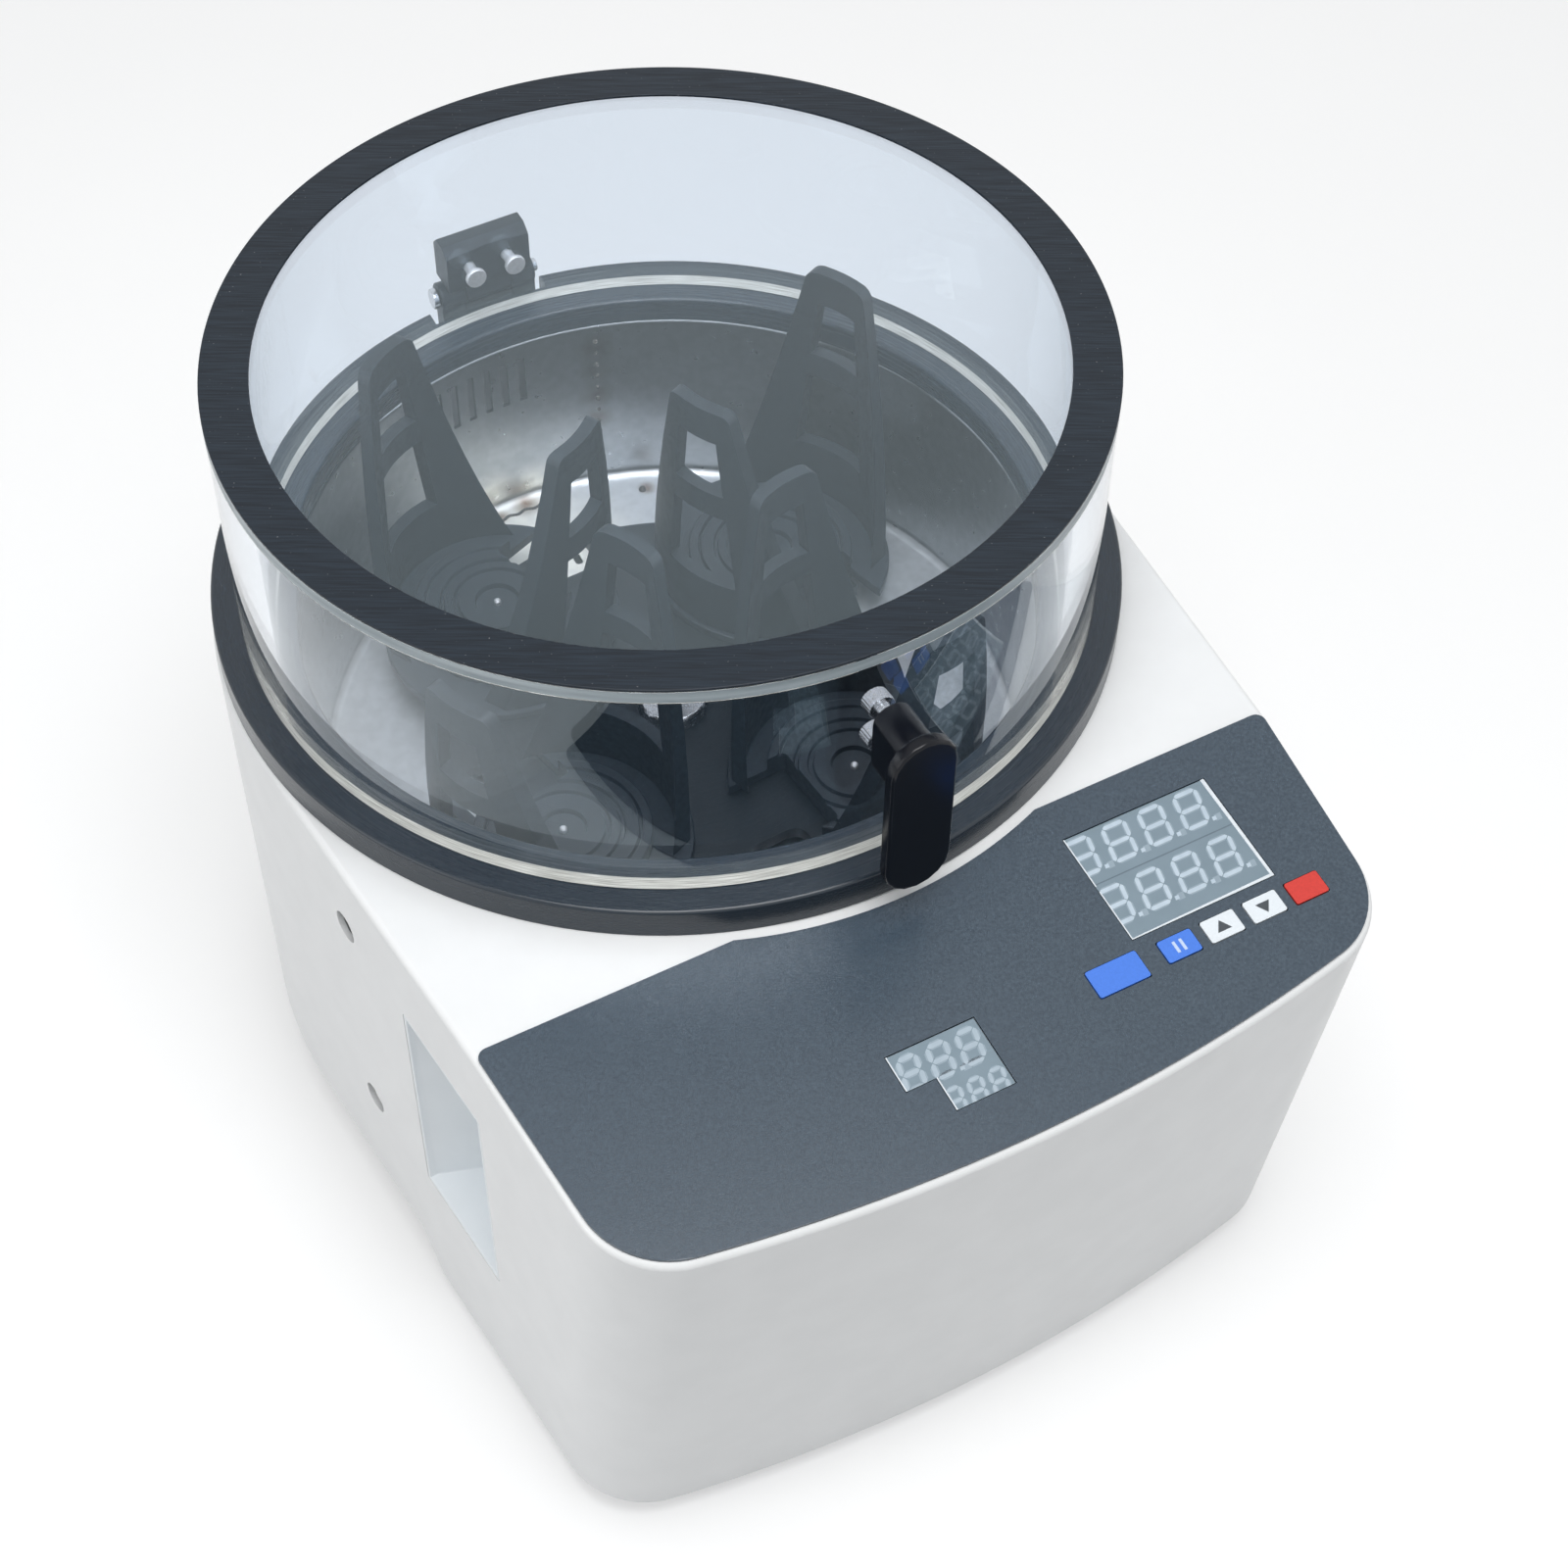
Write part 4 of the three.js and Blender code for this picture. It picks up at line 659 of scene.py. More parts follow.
def kept(loops: Loops, limit: float, across: bool) -> list[list[Point2]]:
    """The loops' parts beyond a line.

    Args:
        loops: loops to clip.
        limit: where the line lies.
        across: true keeps what lies to its right, false keeps what lies behind it.

    Returns:
        The clipped loops that have any area left.
    """
    axis = 0 if across else 1
    clipped = []
    for loop in loops:
        points: list[Point2] = []
        for a, b in zip(loop, [*loop[1:], loop[0]]):
            if a[axis] >= limit:
                points.append(a)
            if (a[axis] >= limit) != (b[axis] >= limit):
                share = (limit - a[axis]) / (b[axis] - a[axis])
                points.append((a[0] + (b[0] - a[0]) * share, a[1] + (b[1] - a[1]) * share))
        if len(points) > 2 and abs(area(points)) > LEAST_AREA:
            clipped.append(points)
    return clipped


def prism(
    name: str, outline: Sequence[Point2], low: float, high: float, holes: Loops = ()
) -> Object:
    """A flat outline, with holes, raised between two heights.

    Args:
        name: the object's name.
        outline: the outer loop.
        low: height of the underside.
        high: height of the top.
        holes: the inner loops.

    Returns:
        The object.
    """
    loops = [wound(outline, True), *[wound(hole, False) for hole in holes]]
    points, triangles = capped(loops[0], loops[1:])
    mesh = bmesh.new()
    under = [mesh.verts.new((x, y, low)) for x, y in points]
    over = [mesh.verts.new((x, y, high)) for x, y in points]
    for triangle in triangles:
        mesh.faces.new([over[i] for i in triangle])
        mesh.faces.new([under[i] for i in triangle[::-1]])
    start = 0
    for loop in loops:
        count = len(loop)
        for i in range(count):
            a, b = start + i, start + (i + 1) % count
            mesh.faces.new((under[a], under[b], over[b], over[a]))
        start += count
    return object_from(mesh, name)


def moved(piece: Object, matrix: Matrix) -> Object:
    """Moves a piece's mesh by a matrix."""
    piece.data.transform(matrix)
    return piece


def turned_about(piece: Object, radians: float) -> Object:
    """Turns a piece's mesh about the Z axis."""
    return moved(piece, Matrix.Rotation(radians, 4, "Z"))


def joined(pieces: Sequence[Object], name: str) -> Object:
    """One object that holds the meshes of several, which are used up."""
    mesh = bmesh.new()
    for piece in pieces:
        mesh.from_mesh(piece.data)
        bpy.data.objects.remove(piece)
    return object_from(mesh, name)


def two_finishes(piece: Object, second: Callable[[MeshPolygon], bool]) -> None:
    """Gives the faces that the test picks the piece's second finish, and the rest its first."""
    for face in piece.data.polygons:
        face.material_index = int(second(face))


def softened_node(node: str, width: float, name: str = "", segments: int = 2) -> Object:
    """A finer copy of a node, back in the layout's millimetres, with rounded edges.

    Args:
        node: the node to copy.
        width: the rounding in millimetres.
        name: the piece's name.
        segments: steps across the rounding.

    Returns:
        The copy.
    """
    mesh = bmesh.new()
    mesh.from_mesh(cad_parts[node].data)
    bmesh.ops.transform(mesh, matrix=Matrix.Scale(1 / MM, 4) @ Matrix.Translation(-OFFSET), verts=mesh.verts)
    bmesh.ops.remove_doubles(mesh, verts=mesh.verts, dist=NODE_WELD)
    bmesh.ops.dissolve_limit(mesh, angle_limit=math.radians(FLAT_ANGLE), verts=mesh.verts, edges=mesh.edges)
    copy = object_from(mesh, name or f"{node}_fine")
    copy.data.materials.clear()
    return soften(copy, width, segments)


@dataclass(frozen=True)
class Finer:
    """A node that a copy of itself with rounded edges stands for."""

    node: str
    width: float  # the rounding in millimetres
    body: str
    slot: str
    finish: Finish
    segments: int = 2
    name: str = ""

    def build(self) -> None:
        """Builds and dresses the copy."""
        piece = softened_node(self.node, self.width, self.name, self.segments)
        SHOP.hand_over(piece, self.body, self.slot, self.finish, replaces=[self.node])


# Sub-assemblies


@dataclass
class Housing:
    """The white sheet housing with the openings in its walls."""

    top: float = 217
    sheet: float = 2
    rear_radius: float = 161
    taper: float = 4.5
    bend: float = 154
    slope: float = 6.35
    front: float = 258
    bow: float = 650
    corner: float = 32
    front_hem: float = 12
    rear_hem: float = 28
    step_front: float = 104
    step_rear: float = 90
    fold: float = 2.6
    mouth: float = 136.5
    hole_radius: float = 6
    hole_back: float = 65
    hole_heights: Point2 = (184, 81)
    inlet_back: float = 40
    inlet_height: float = 62
    inlet_size: Point2 = (50, 28)
    inlet_deep: float = 24
    inlet_play: float = 0.3
    near: float = 0.01  # points closer than this are one
    crease: float = 28  # degrees
    rear_steps: int = 96
    corner_steps: int = 14
    bow_steps: int = 24
    fold_steps: int = 8
    mouth_steps: int = 128
    hole_steps: int = 40

    def tangent(self) -> float:
        """The slope of the console as a rise for each millimetre."""
        return math.tan(math.radians(self.slope))

    def half_width(self, front: float) -> float:
        """Half the width between the side walls' faces at a place in front of the axis."""
        lean = math.radians(self.taper)
        return self.rear_radius / math.cos(lean) - front * math.tan(lean)

    def wall_cutter(
        self, side: int, front: float, height: float, half: Point2, corner: float, deep: float
    ) -> Object:
        """A cutter with round corners, square to a side wall.

        Args:
            side: 1 for the right wall and -1 for the left one.
            front: how far its middle is in front of the axis.
            height: its middle's height.
            half: half its length and height.
            corner: the radius of its corners.
            deep: how far it reaches to each side of the wall's face.

        Returns:
            The cutter.
        """
        long, tall = half
        block = moved(prism("cutter", rounded(-tall, tall, -long, long, corner), -deep, deep), ON_EDGE)
        lean = math.radians(self.taper)
        turned_about(block, -lean if side > 0 else math.pi + lean)
        return moved(block, Matrix.Translation((side * self.half_width(front), -front, height)))

    def inlet_opening(self) -> Object:
        """The cutter for the mains inlet's body."""
        half = tuple(size / 2 + self.inlet_play for size in self.inlet_size)
        return self.wall_cutter(1, self.inlet_back, self.inlet_height, half, self.inlet_play, self.inlet_deep)

    def hole_cutters(self) -> list[Object]:
        """The drills for the round holes; the lower goes through the left wall only, clear of the inlet."""
        wide, radius = self.rear_radius + self.sheet, self.hole_radius
        drills = []
        for height, reach in zip(self.hole_heights, (wide, 0)):
            profile = [(0, -wide), (radius, -wide), (radius, reach), (0, reach)]
            drill = moved(turned("drill", profile, self.hole_steps), ACROSS)
            drills.append(moved(drill, Matrix.Translation((0, -self.hole_back, height))))
        return drills

    def reach_at(self, height: float) -> float:
        """How far the leaning front reaches at a height."""
        edge = self.top - (self.front - self.bend) * self.tangent()
        return self.front - (edge - height) * self.tangent()

    def corner_centre(self, reach: float) -> Point2:
        """The centre of the front corner's circle, which touches the side and the bowed front."""
        lean = math.tan(math.radians(self.taper))
        inner = (self.rear_radius - self.corner) / math.cos(math.radians(self.taper))
        bow_centre = self.bow - reach
        spread = self.bow - self.corner
        a = 1 + lean * lean
        b = inner * lean - bow_centre
        c = inner * inner + bow_centre * bow_centre - spread * spread
        y = (-b - math.sqrt(b * b - a * c)) / a
        return inner + lean * y, y

    def plan(self, reach: float, inset: float) -> list[Point2]:
        """The housing's outline in plan, set in by a wall.

        Args:
            reach: how far the front reaches.
            inset: how far the outline is set in.

        Returns:
            The outline, anticlockwise from the right side.
        """
        x, y = self.corner_centre(reach)
        bow_centre = self.bow - reach
        corner = self.corner - inset
        turn = math.degrees(math.atan2(y - bow_centre, x))
        left = arc(-x, y, corner, HALF_TURN + self.taper, HALF_TURN - turn, self.corner_steps)
        right = arc(x, y, corner, FULL_TURN + turn, FULL_TURN - self.taper, self.corner_steps)
        bowed = arc(0, bow_centre, self.bow - inset, HALF_TURN - turn, FULL_TURN + turn, self.bow_steps)[1:-1]
        rear = arc(0, 0, self.rear_radius - inset, -self.taper, HALF_TURN + self.taper, self.rear_steps)
        return [*rear, *self.side(rear[-1], left[0]), *left, *bowed, *right, *self.side(right[-1], rear[0])]

    def side(self, start: Point2, end: Point2) -> list[Point2]:
        """Points along a side wall at the bend and at the hem's step, between its ends."""
        stops = sorted({-self.step_rear, -self.step_front, -self.bend}, reverse=end[1] < start[1])
        shares = [(stop - start[1]) / (end[1] - start[1]) for stop in stops]
        return [(start[0] + (end[0] - start[0]) * s, start[1] + (end[1] - start[1]) * s) for s in shares]

    def top_at(self, y: float) -> float:
        """Height of the upper face at a place from front to rear."""
        return self.top + min(0.0, y + self.bend) * self.tangent()

    def hem_at(self, y: float) -> float:
        """Height of the lower edge at a place from front to rear."""
        share = min(1.0, max(0.0, (y + self.step_front) / (self.step_front - self.step_rear)))
        return self.front_hem + (self.rear_hem - self.front_hem) * share

    def skin(self, windows: Loops) -> Object:
        """The outer skin: walls, folded edge and upper faces.

        Args:
            windows: loops left open in the console, in plan.

        Returns:
            The open skin.
        """
        mesh = bmesh.new()
        rows = [[(x, y, self.hem_at(y)) for x, y in self.plan(self.reach_at(self.front_hem), 0)]]
        for step in range(self.fold_steps + 1):
            angle = math.radians(QUARTER * step / self.fold_steps)
            inset, drop = self.fold * (1 - math.cos(angle)), self.fold * (1 - math.sin(angle))
            rows.append([(x, y, self.top_at(y) - drop) for x, y in self.plan(self.front, inset)])
        verts = [[mesh.verts.new(point) for point in row] for row in rows]
        for lower, upper in zip(verts, verts[1:]):
            for i in range(len(lower)):
                j = (i + 1) % len(lower)
                mesh.faces.new((lower[i], lower[j], upper[j], upper[i]))
        self.fill_top(mesh, verts[-1], windows)
        return object_from(mesh, "housing_skin")

    def fill_top(
        self, mesh: BMesh, rim: list[BMVert], windows: Loops
    ) -> None:
        """Fills the flat top and the console inside the folded rim.

        Args:
            mesh: the skin.
            rim: its innermost row.
            windows: loops left open, in plan.
        """
        loop = [(v.co.x, v.co.y) for v in rim]
        mouth = arc(0, 0, self.mouth, 0, FULL_TURN, self.mouth_steps)[:-1][::-1]
        holes = [mouth, *[wound(window, False) for window in windows]]
        for at_rear in (True, False):
            within = [
                (y + self.bend >= -self.near) == at_rear or abs(y + self.bend) < self.near for _, y in loop
            ]
            indices = [i for i, inside in enumerate(within) if inside]
            part = [loop[i] for i in self.in_order(indices, len(loop))]
            points, triangles = capped(part, [hole for hole in holes if (hole[0][1] > -self.bend) == at_rear])
            made = [mesh.verts.new((x, y, self.top_at(y))) for x, y in points]
            for triangle in triangles:
                mesh.faces.new([made[i] for i in triangle])
        bmesh.ops.remove_doubles(mesh, verts=mesh.verts, dist=self.near)

    @staticmethod
    def in_order(indices: list[int], count: int) -> list[int]:
        """Indices of one unbroken stretch of a loop, from its first to its last."""
        chosen = set(indices)
        starts = [i for i in indices if (i - 1) % count not in chosen]
        start = starts[0] if starts else indices[0]
        return [(start + k) % count for k in range(count) if (start + k) % count in chosen]

    def build(self, windows: Loops, pocket: Pocket) -> None:
        """Builds and dresses the shell.

        Args:
            windows: loops left open in the console, in plan.
            pocket: the pocket whose opening is cut in the wall.
        """
        shell = self.skin(windows)
        thick = shell.modifiers.new("sheet", "SOLIDIFY")
        thick.thickness = self.sheet
        thick.offset = -1
        thick.use_even_offset = True
        settle(shell)
        trim(shell, [pocket.opening(), self.inlet_opening(), *self.hole_cutters()])
        shell.name = "housing"
        smooth(shell, self.crease)
        SHOP.hand_over(shell, "housing", "white_paint", WHITE_PAINT, replaces=["housing_shell"])


@dataclass
class Pocket:
    """The pocket let into the left side wall."""

    housing: Housing
    front: float = 155
    back: float = 104
    low: float = 80
    high: float = 181
    depth: float = 24
    corner: float = 1.2
    # Its lighter, bluer paint is painted light on the pocket's back.
    pan: Finer = Finer("side_pocket", 0.5, "housing", "white_paint", PAN_PAINT_PAINTED_LIGHT, FINE, "pocket_pan")

    def opening(self) -> Object:
        """The cutter for the wall."""
        middle, height = (self.front + self.back) / 2, (self.low + self.high) / 2
        half = ((self.front - self.back) / 2, (self.high - self.low) / 2)
        return self.housing.wall_cutter(-1, middle, height, half, self.corner, self.depth)

    def build(self) -> None:
        """Builds and dresses the pan."""
        self.pan.build()


@dataclass(frozen=True)
class Figures:
    """A row of seven-segment figures; lengths in millimetres."""

    count: int
    left: float
    foot: float
    pitch: float
    wide: float
    tall: float
    dotted: tuple[int, ...] = ()  # the figures that a point follows
    weight: float = 1.0  # its share of the display's stroke
    lean: float = 0.19
    slit: float = 0.12  # the gap at a segment's tip, as a share of the stroke
    dot_off: float = 1.5  # the point's distance, in strokes

    def loops(self, stroke: float) -> list[list[Point2]]:
        """A loop for every segment and point of the row, by the stroke before the row's weight."""
        drawn = []
        for column in range(self.count):
            drawn += self.figure(self.left + column * self.pitch, stroke * self.weight, column in self.dotted)
        return drawn

    def figure(self, x: float, stroke: float, dotted: bool) -> list[list[Point2]]:
        """The seven segments and the point of one figure, leaning as display figures do.

        Args:
            x: left edge of its foot.
            stroke: the segments' width.
            dotted: whether a point follows it.

        Returns:
            One loop for each of them.
        """
        half, slit, y = stroke / 2, stroke * self.slit, self.foot
        nodes = {(i, j): (x + i * self.wide, y + j * self.tall / 2) for i in (0, 1) for j in (0, 1, 2)}
        pairs = [((0, j), (1, j)) for j in (0, 1, 2)] + [((i, j), (i, j + 1)) for i in (0, 1) for j in (0, 1)]
        loops = []
        for first, second in pairs:
            (ax, ay), (bx, by) = nodes[first], nodes[second]
            flat = ay == by
            far = ((bx - ax) if flat else (by - ay)) - slit
            shape = [
                (slit, 0), (slit + half, -half), (far - half, -half), (far, 0), (far - half, half),
                (slit + half, half),
            ]
            loops.append([(ax + u, ay + v) if flat else (ax - v, ay + u) for u, v in shape])
        if dotted:
            dot = x + self.wide + stroke * self.dot_off
            loops.append(rectangle(dot - half, dot + half, y - half, y + half))
        return [[(px + self.lean * (py - y), py) for px, py in loop] for loop in loops]


@dataclass(frozen=True)
class Key:
    """One key of the panel."""

    name: str
    x: float
    finish: Finish
    slot: str
    size: Point2 = (12.8, 8.5)


@dataclass
class Console:
    """The overlay, the two displays and the five keys on the sloped console."""

    housing: Housing
    margin: float = 1.8
    film_low: float = 0.3
    film_high: float = 1.3
    film_corner: float = 3.5
    film_round: float = 0.18
    below_bend: float = 0.5
    bite: float = 165
    bite_steps: int = 40
    bite_corner_steps: int = 6
    gap: float = 0.3

    screen: tuple[float, float, float, float] = (58.8, 114.6, -57.3, -14.7)  # left, right, front, rear
    # left edge, step, right edge, rear edge, step, front edge
    thermo: tuple[float, ...] = (-34.5, -23.6, -2.2, -58.9, -72.1, -84.7)
    screen_face: float = 1.05
    screen_back: float = -7.3
    screen_round: float = 0.15
    edge_front: float = 1.1
    edge_right: float = 1.4
    edge_left: float = 0.45
    edge_gap: float = 1.1  # half the break in the left edge
    edge_sunk: float = 0.05
    edge_below_film: float = 0.06
    edge_round: float = 0.05
    seam_up: float = 1.8
    seam_half: float = 0.25

    speed_rows: tuple[Figures, ...] = tuple(
        Figures(4, 56.1, foot, 14.2, 8.3, 12.9, (0, 1, 2, 3)) for foot in (-29.6, -50.2)
    )
    thermo_upper: Figures = Figures(3, -33.9, -72.6, 10.7, 6.4, 11, (1,))
    thermo_lower: Figures = Figures(3, -25.0, -86.2, 7.75, 4.6, 8.6, weight=0.75)
    speed_strokes: Point2 = (2.5, 1.5)  # of the halo and of the figure
    thermo_strokes: Point2 = (2.7, 1.6)
    halo_proud: float = 0.01
    print_proud: float = 0.03
    print_sunk: float = 0.1
    dot_room: float = 1  # how far a point may reach above the step

    key_row: float = -66.2
    key_face: float = 1.65
    key_back: float = -6.8
    key_corner: float = 0.8
    key_round: float = 0.35
    keys: tuple[Key, ...] = (
        Key("menu", 47.5, BLUE_KEY, "blue_key", (19.2, 10.4)),
        Key("pause", 71.2, BLUE_KEY, "blue_key"),
        Key("up", 87.9, WHITE_KEY, "white_key"),
        Key("down", 104.6, WHITE_KEY, "white_key"),
        Key("run_stop", 121.3, RED_KEY, "red_key"),
    )
    bar_half: Point2 = (0.55, 2.2)
    bar_off: float = 1.3
    bar_corner: float = 0.15
    arrow_half: float = 2.7
    arrow_foot: float = 1.7
    arrow_tip: float = 2.4
    mark_proud: float = 0.06
    mark_sunk: float = 0.2

    def place(self) -> Matrix:
        """The console's frame: origin on the bend, Y up the slope, Z square to the sheet."""
        turn = Matrix.Rotation(math.radians(self.housing.slope), 4, "X")
        return Matrix.Translation((0, -self.housing.bend, self.housing.top)) @ turn

    def to_plan(self, loop: Sequence[Point2]) -> list[Point2]:
        """A loop on the console as seen from above."""
        run = math.cos(math.radians(self.housing.slope))
        return [(x, y * run - self.housing.bend) for x, y in loop]

    def from_plan(self, loop: Sequence[Point2]) -> list[Point2]:
        """A loop in plan brought onto the console."""
        run = math.cos(math.radians(self.housing.slope))
        return [(x, (y + self.housing.bend) / run) for x, y in loop]

    def screen_loop(self, extra: float) -> list[Point2]:
        """The main display's outline."""
        left, right, front, rear = self.screen
        return rectangle(left - extra, right + extra, front - extra, rear + extra)

    def thermo_loop(self, extra: float) -> list[Point2]:
        """The stepped temperature display's outline."""
        left, step, right, rear, middle, front = self.thermo
        return [
            (step - extra, front - extra), (right + extra, front - extra), (right + extra, rear + extra),
            (left - extra, rear + extra), (left - extra, middle - extra), (step - extra, middle - extra),
        ]

    def key_loop(self, key: Key, extra: float) -> list[Point2]:
        """A key's outline."""
        wide, deep = (size / 2 + extra for size in key.size)
        return rounded(key.x - wide, key.x + wide, self.key_row - deep, self.key_row + deep, self.key_corner)

    def windows(self) -> list[list[Point2]]:
        """The openings in the sheet, in plan."""
        left = min(key.x for key in self.keys) - self.keys[0].size[0] / 2 - self.gap
        right = max(key.x for key in self.keys) + self.keys[-1].size[0] / 2 + self.gap
        deep = self.keys[0].size[1] / 2 + self.gap
        keys = rectangle(left, right, self.key_row - deep, self.key_row + deep)
        return [self.to_plan(loop) for loop in (keys, self.screen_loop(self.gap), self.thermo_loop(self.gap))]

    def film_loop(self) -> list[Point2]:
        """The overlay's outline: the console's, set in, with a round bite at the ring."""
        outline = self.from_plan(self.housing.plan(self.housing.front, self.margin))
        front = [point for point in outline if point[1] < -self.below_bend]
        half = self.housing.half_width(self.housing.bend) - self.margin
        run = self.housing.bend / math.cos(math.radians(self.housing.slope))
        across = math.sqrt(self.bite**2 - run**2)
        angle = math.degrees(math.asin(across / self.bite))
        down = HALF_TURN + QUARTER
        bite = arc(0, run, self.bite, down + angle, down - angle, self.bite_steps)
        corner = self.film_corner
        right = arc(half - corner, -corner, corner, 0, QUARTER, self.bite_corner_steps)
        left = arc(corner - half, -corner, corner, QUARTER, HALF_TURN, self.bite_corner_steps)
        return [*front, *right, *bite, *left]

    def build(self) -> None:
        """Builds and dresses the overlay, displays, digits and keys."""
        holes = [self.screen_loop(self.gap), self.thermo_loop(self.gap)]
        holes += [self.key_loop(key, self.gap) for key in self.keys]
        film = prism("control_film", self.film_loop(), self.film_low, self.film_high, holes)
        self.fit(soften(film, self.film_round), OVERLAY_FILM, "overlay_film", ["control_overlay"])
        self.build_screens()
        self.build_edges()
        self.build_keys()
        self.build_digits()

    def fit(
        self, piece: Object, finish: Finish, slot: str, nodes: Iterable[str] = (),
        body: str = "housing",
    ) -> None:
        """Lays a piece on the console and hands it over."""
        SHOP.hand_over(moved(piece, self.place()), body, slot, finish, replaces=nodes)

    def build_screens(self) -> None:
        """Builds both display windows."""
        for name, loop, node in (
            ("speed_window", self.screen_loop(0), "speed_display"),
            ("temperature_window", self.thermo_loop(0), "temperature_display"),
        ):
            window = soften(prism(name, loop, self.screen_back, self.screen_face), self.screen_round)
            self.fit(window, DISPLAY_FILM, "display_film", [node])

    def build_edges(self) -> None:
        """Lays the windows' pale edges and the seam of the main one."""
        left, right, front, rear = self.screen
        middle, inner, inside = (front + rear) / 2, left + self.edge_left, right - self.edge_right
        edge = [
            (left, front), (right, front), (right, rear), (inside, rear),
            (right - self.edge_front, front + self.edge_front), (inner, front + self.edge_left),
            (inner, middle - self.edge_gap), (left, middle - self.edge_gap),
        ]
        self.lay_strips("speed_window_edge", [edge, rectangle(left, inner, middle + self.edge_gap, rear)])
        start, step, _, top, corner, low = self.thermo
        upper = rectangle(start, start + self.edge_left, corner, top)
        lower = rectangle(step, step + self.edge_left, low, corner)
        self.lay_strips("temperature_window_edge", [upper, lower])
        row = middle + self.seam_up
        seam = rectangle(inner, inside, row - self.seam_half, row + self.seam_half)
        self.print_on("speed_window_seam", [seam], WINDOW_SEAM, self.print_proud)

    def lay_strips(self, name: str, loops: Loops) -> None:
        """Lays pale strips along a window's edges."""
        low, high = self.screen_face - self.edge_sunk, self.film_high - self.edge_below_film
        strips = joined([prism("strip", loop, low, high) for loop in loops], name)
        self.fit(soften(strips, self.edge_round), WINDOW_EDGE, "white_key")

    def build_keys(self) -> None:
        """Builds the five keys with their pictograms."""
        for key in self.keys:
            cap = prism(f"{key.name}_cap", self.key_loop(key, 0), self.key_back, self.key_face)
            cap = soften(cap, self.key_round, FINE)
            self.fit(cap, key.finish, key.slot, [f"key_{key.name}"], f"button_{key.name}")
        places = {key.name: key.x for key in self.keys}
        y, (wide, tall) = self.key_row, self.bar_half
        middles = [places["pause"] + way * self.bar_off for way in (-1, 1)]
        bars = [rounded(x - wide, x + wide, y - tall, y + tall, self.bar_corner, 2) for x in middles]
        self.mark("pause_bars", bars, MARK_WHITE, "white_key", "button_pause")
        for name, way in (("up", 1), ("down", -1)):
            x, foot = places[name], y - self.arrow_foot * way
            arrow = [(x - self.arrow_half, foot), (x + self.arrow_half, foot), (x, y + self.arrow_tip * way)]
            self.mark(f"{name}_arrow", [arrow], MARK_DARK, "black_plastic", f"button_{name}")

    def mark(
        self, name: str, loops: Loops, finish: Finish, slot: str, body: str
    ) -> None:
        """Builds a printed mark on a key."""
        low, high = self.key_face - self.mark_sunk, self.key_face + self.mark_proud
        piece = joined([prism("mark", loop, low, high) for loop in loops], name)
        self.fit(smooth(piece), finish, slot, body=body)

    def speed_loops(self, stroke: float) -> list[list[Point2]]:
        """The figures of the main display."""
        loops = [loop for row in self.speed_rows for loop in row.loops(stroke)]
        return kept(loops, self.screen[0] + self.gap, True)

    def thermo_loops(self, stroke: float) -> list[list[Point2]]:
        """The figures of the temperature display, cut off where its window ends."""
        start, step, _, _, middle, low = self.thermo
        big, small = self.thermo_upper.loops(stroke), self.thermo_lower.loops(stroke)
        upper = kept(kept(big, start + self.gap, True), middle, False)
        below = [loop for loop in kept(big, step, True) if max(y for _, y in loop) < middle + self.dot_room]
        return upper + below + kept(kept(small, step + self.gap, True), low, False)

    def build_digits(self) -> None:
        """Builds the unlit figures behind both windows, each over a softer, wider print."""
        for display, loops, strokes, finish in (
            ("speed", self.speed_loops, self.speed_strokes, DIGIT_FILM),
            ("temperature", self.thermo_loops, self.thermo_strokes, DIGIT_SOFT),
        ):
            self.print_on(f"{display}_halo", loops(strokes[0]), DIGIT_HALO, self.halo_proud)
            self.print_on(f"{display}_figures", loops(strokes[1]), finish, self.print_proud)

    def print_on(self, name: str, loops: Loops, finish: Finish, proud: float) -> None:
        """Lays a print just proud of a window's face."""
        low, high = self.screen_face - self.print_sunk, self.screen_face + proud
        piece = joined([prism("segment", loop, low, high) for loop in loops], name)
        self.fit(smooth(piece), finish, "white_key")


@dataclass(frozen=True)
class SlotRow:
    """A row of radial slots with round ends; lengths in millimetres, angles in degrees."""

    count: int
    inner: float
    outer: float
    wide: float
    first: float
    pitch: float
    end_flat: float = 0.05
    end_steps: int = 4

    def cutters(self, low: float, high: float) -> list[Object]:
        """The slots' cutters between two heights."""
        half = self.wide / 2
        outline = rounded(self.inner, self.outer, -half, half, half - self.end_flat, self.end_steps)
        turns = [math.radians(self.first + self.pitch * i) for i in range(self.count)]
        return [turned_about(prism("slot", outline, low, high), turn) for turn in turns]


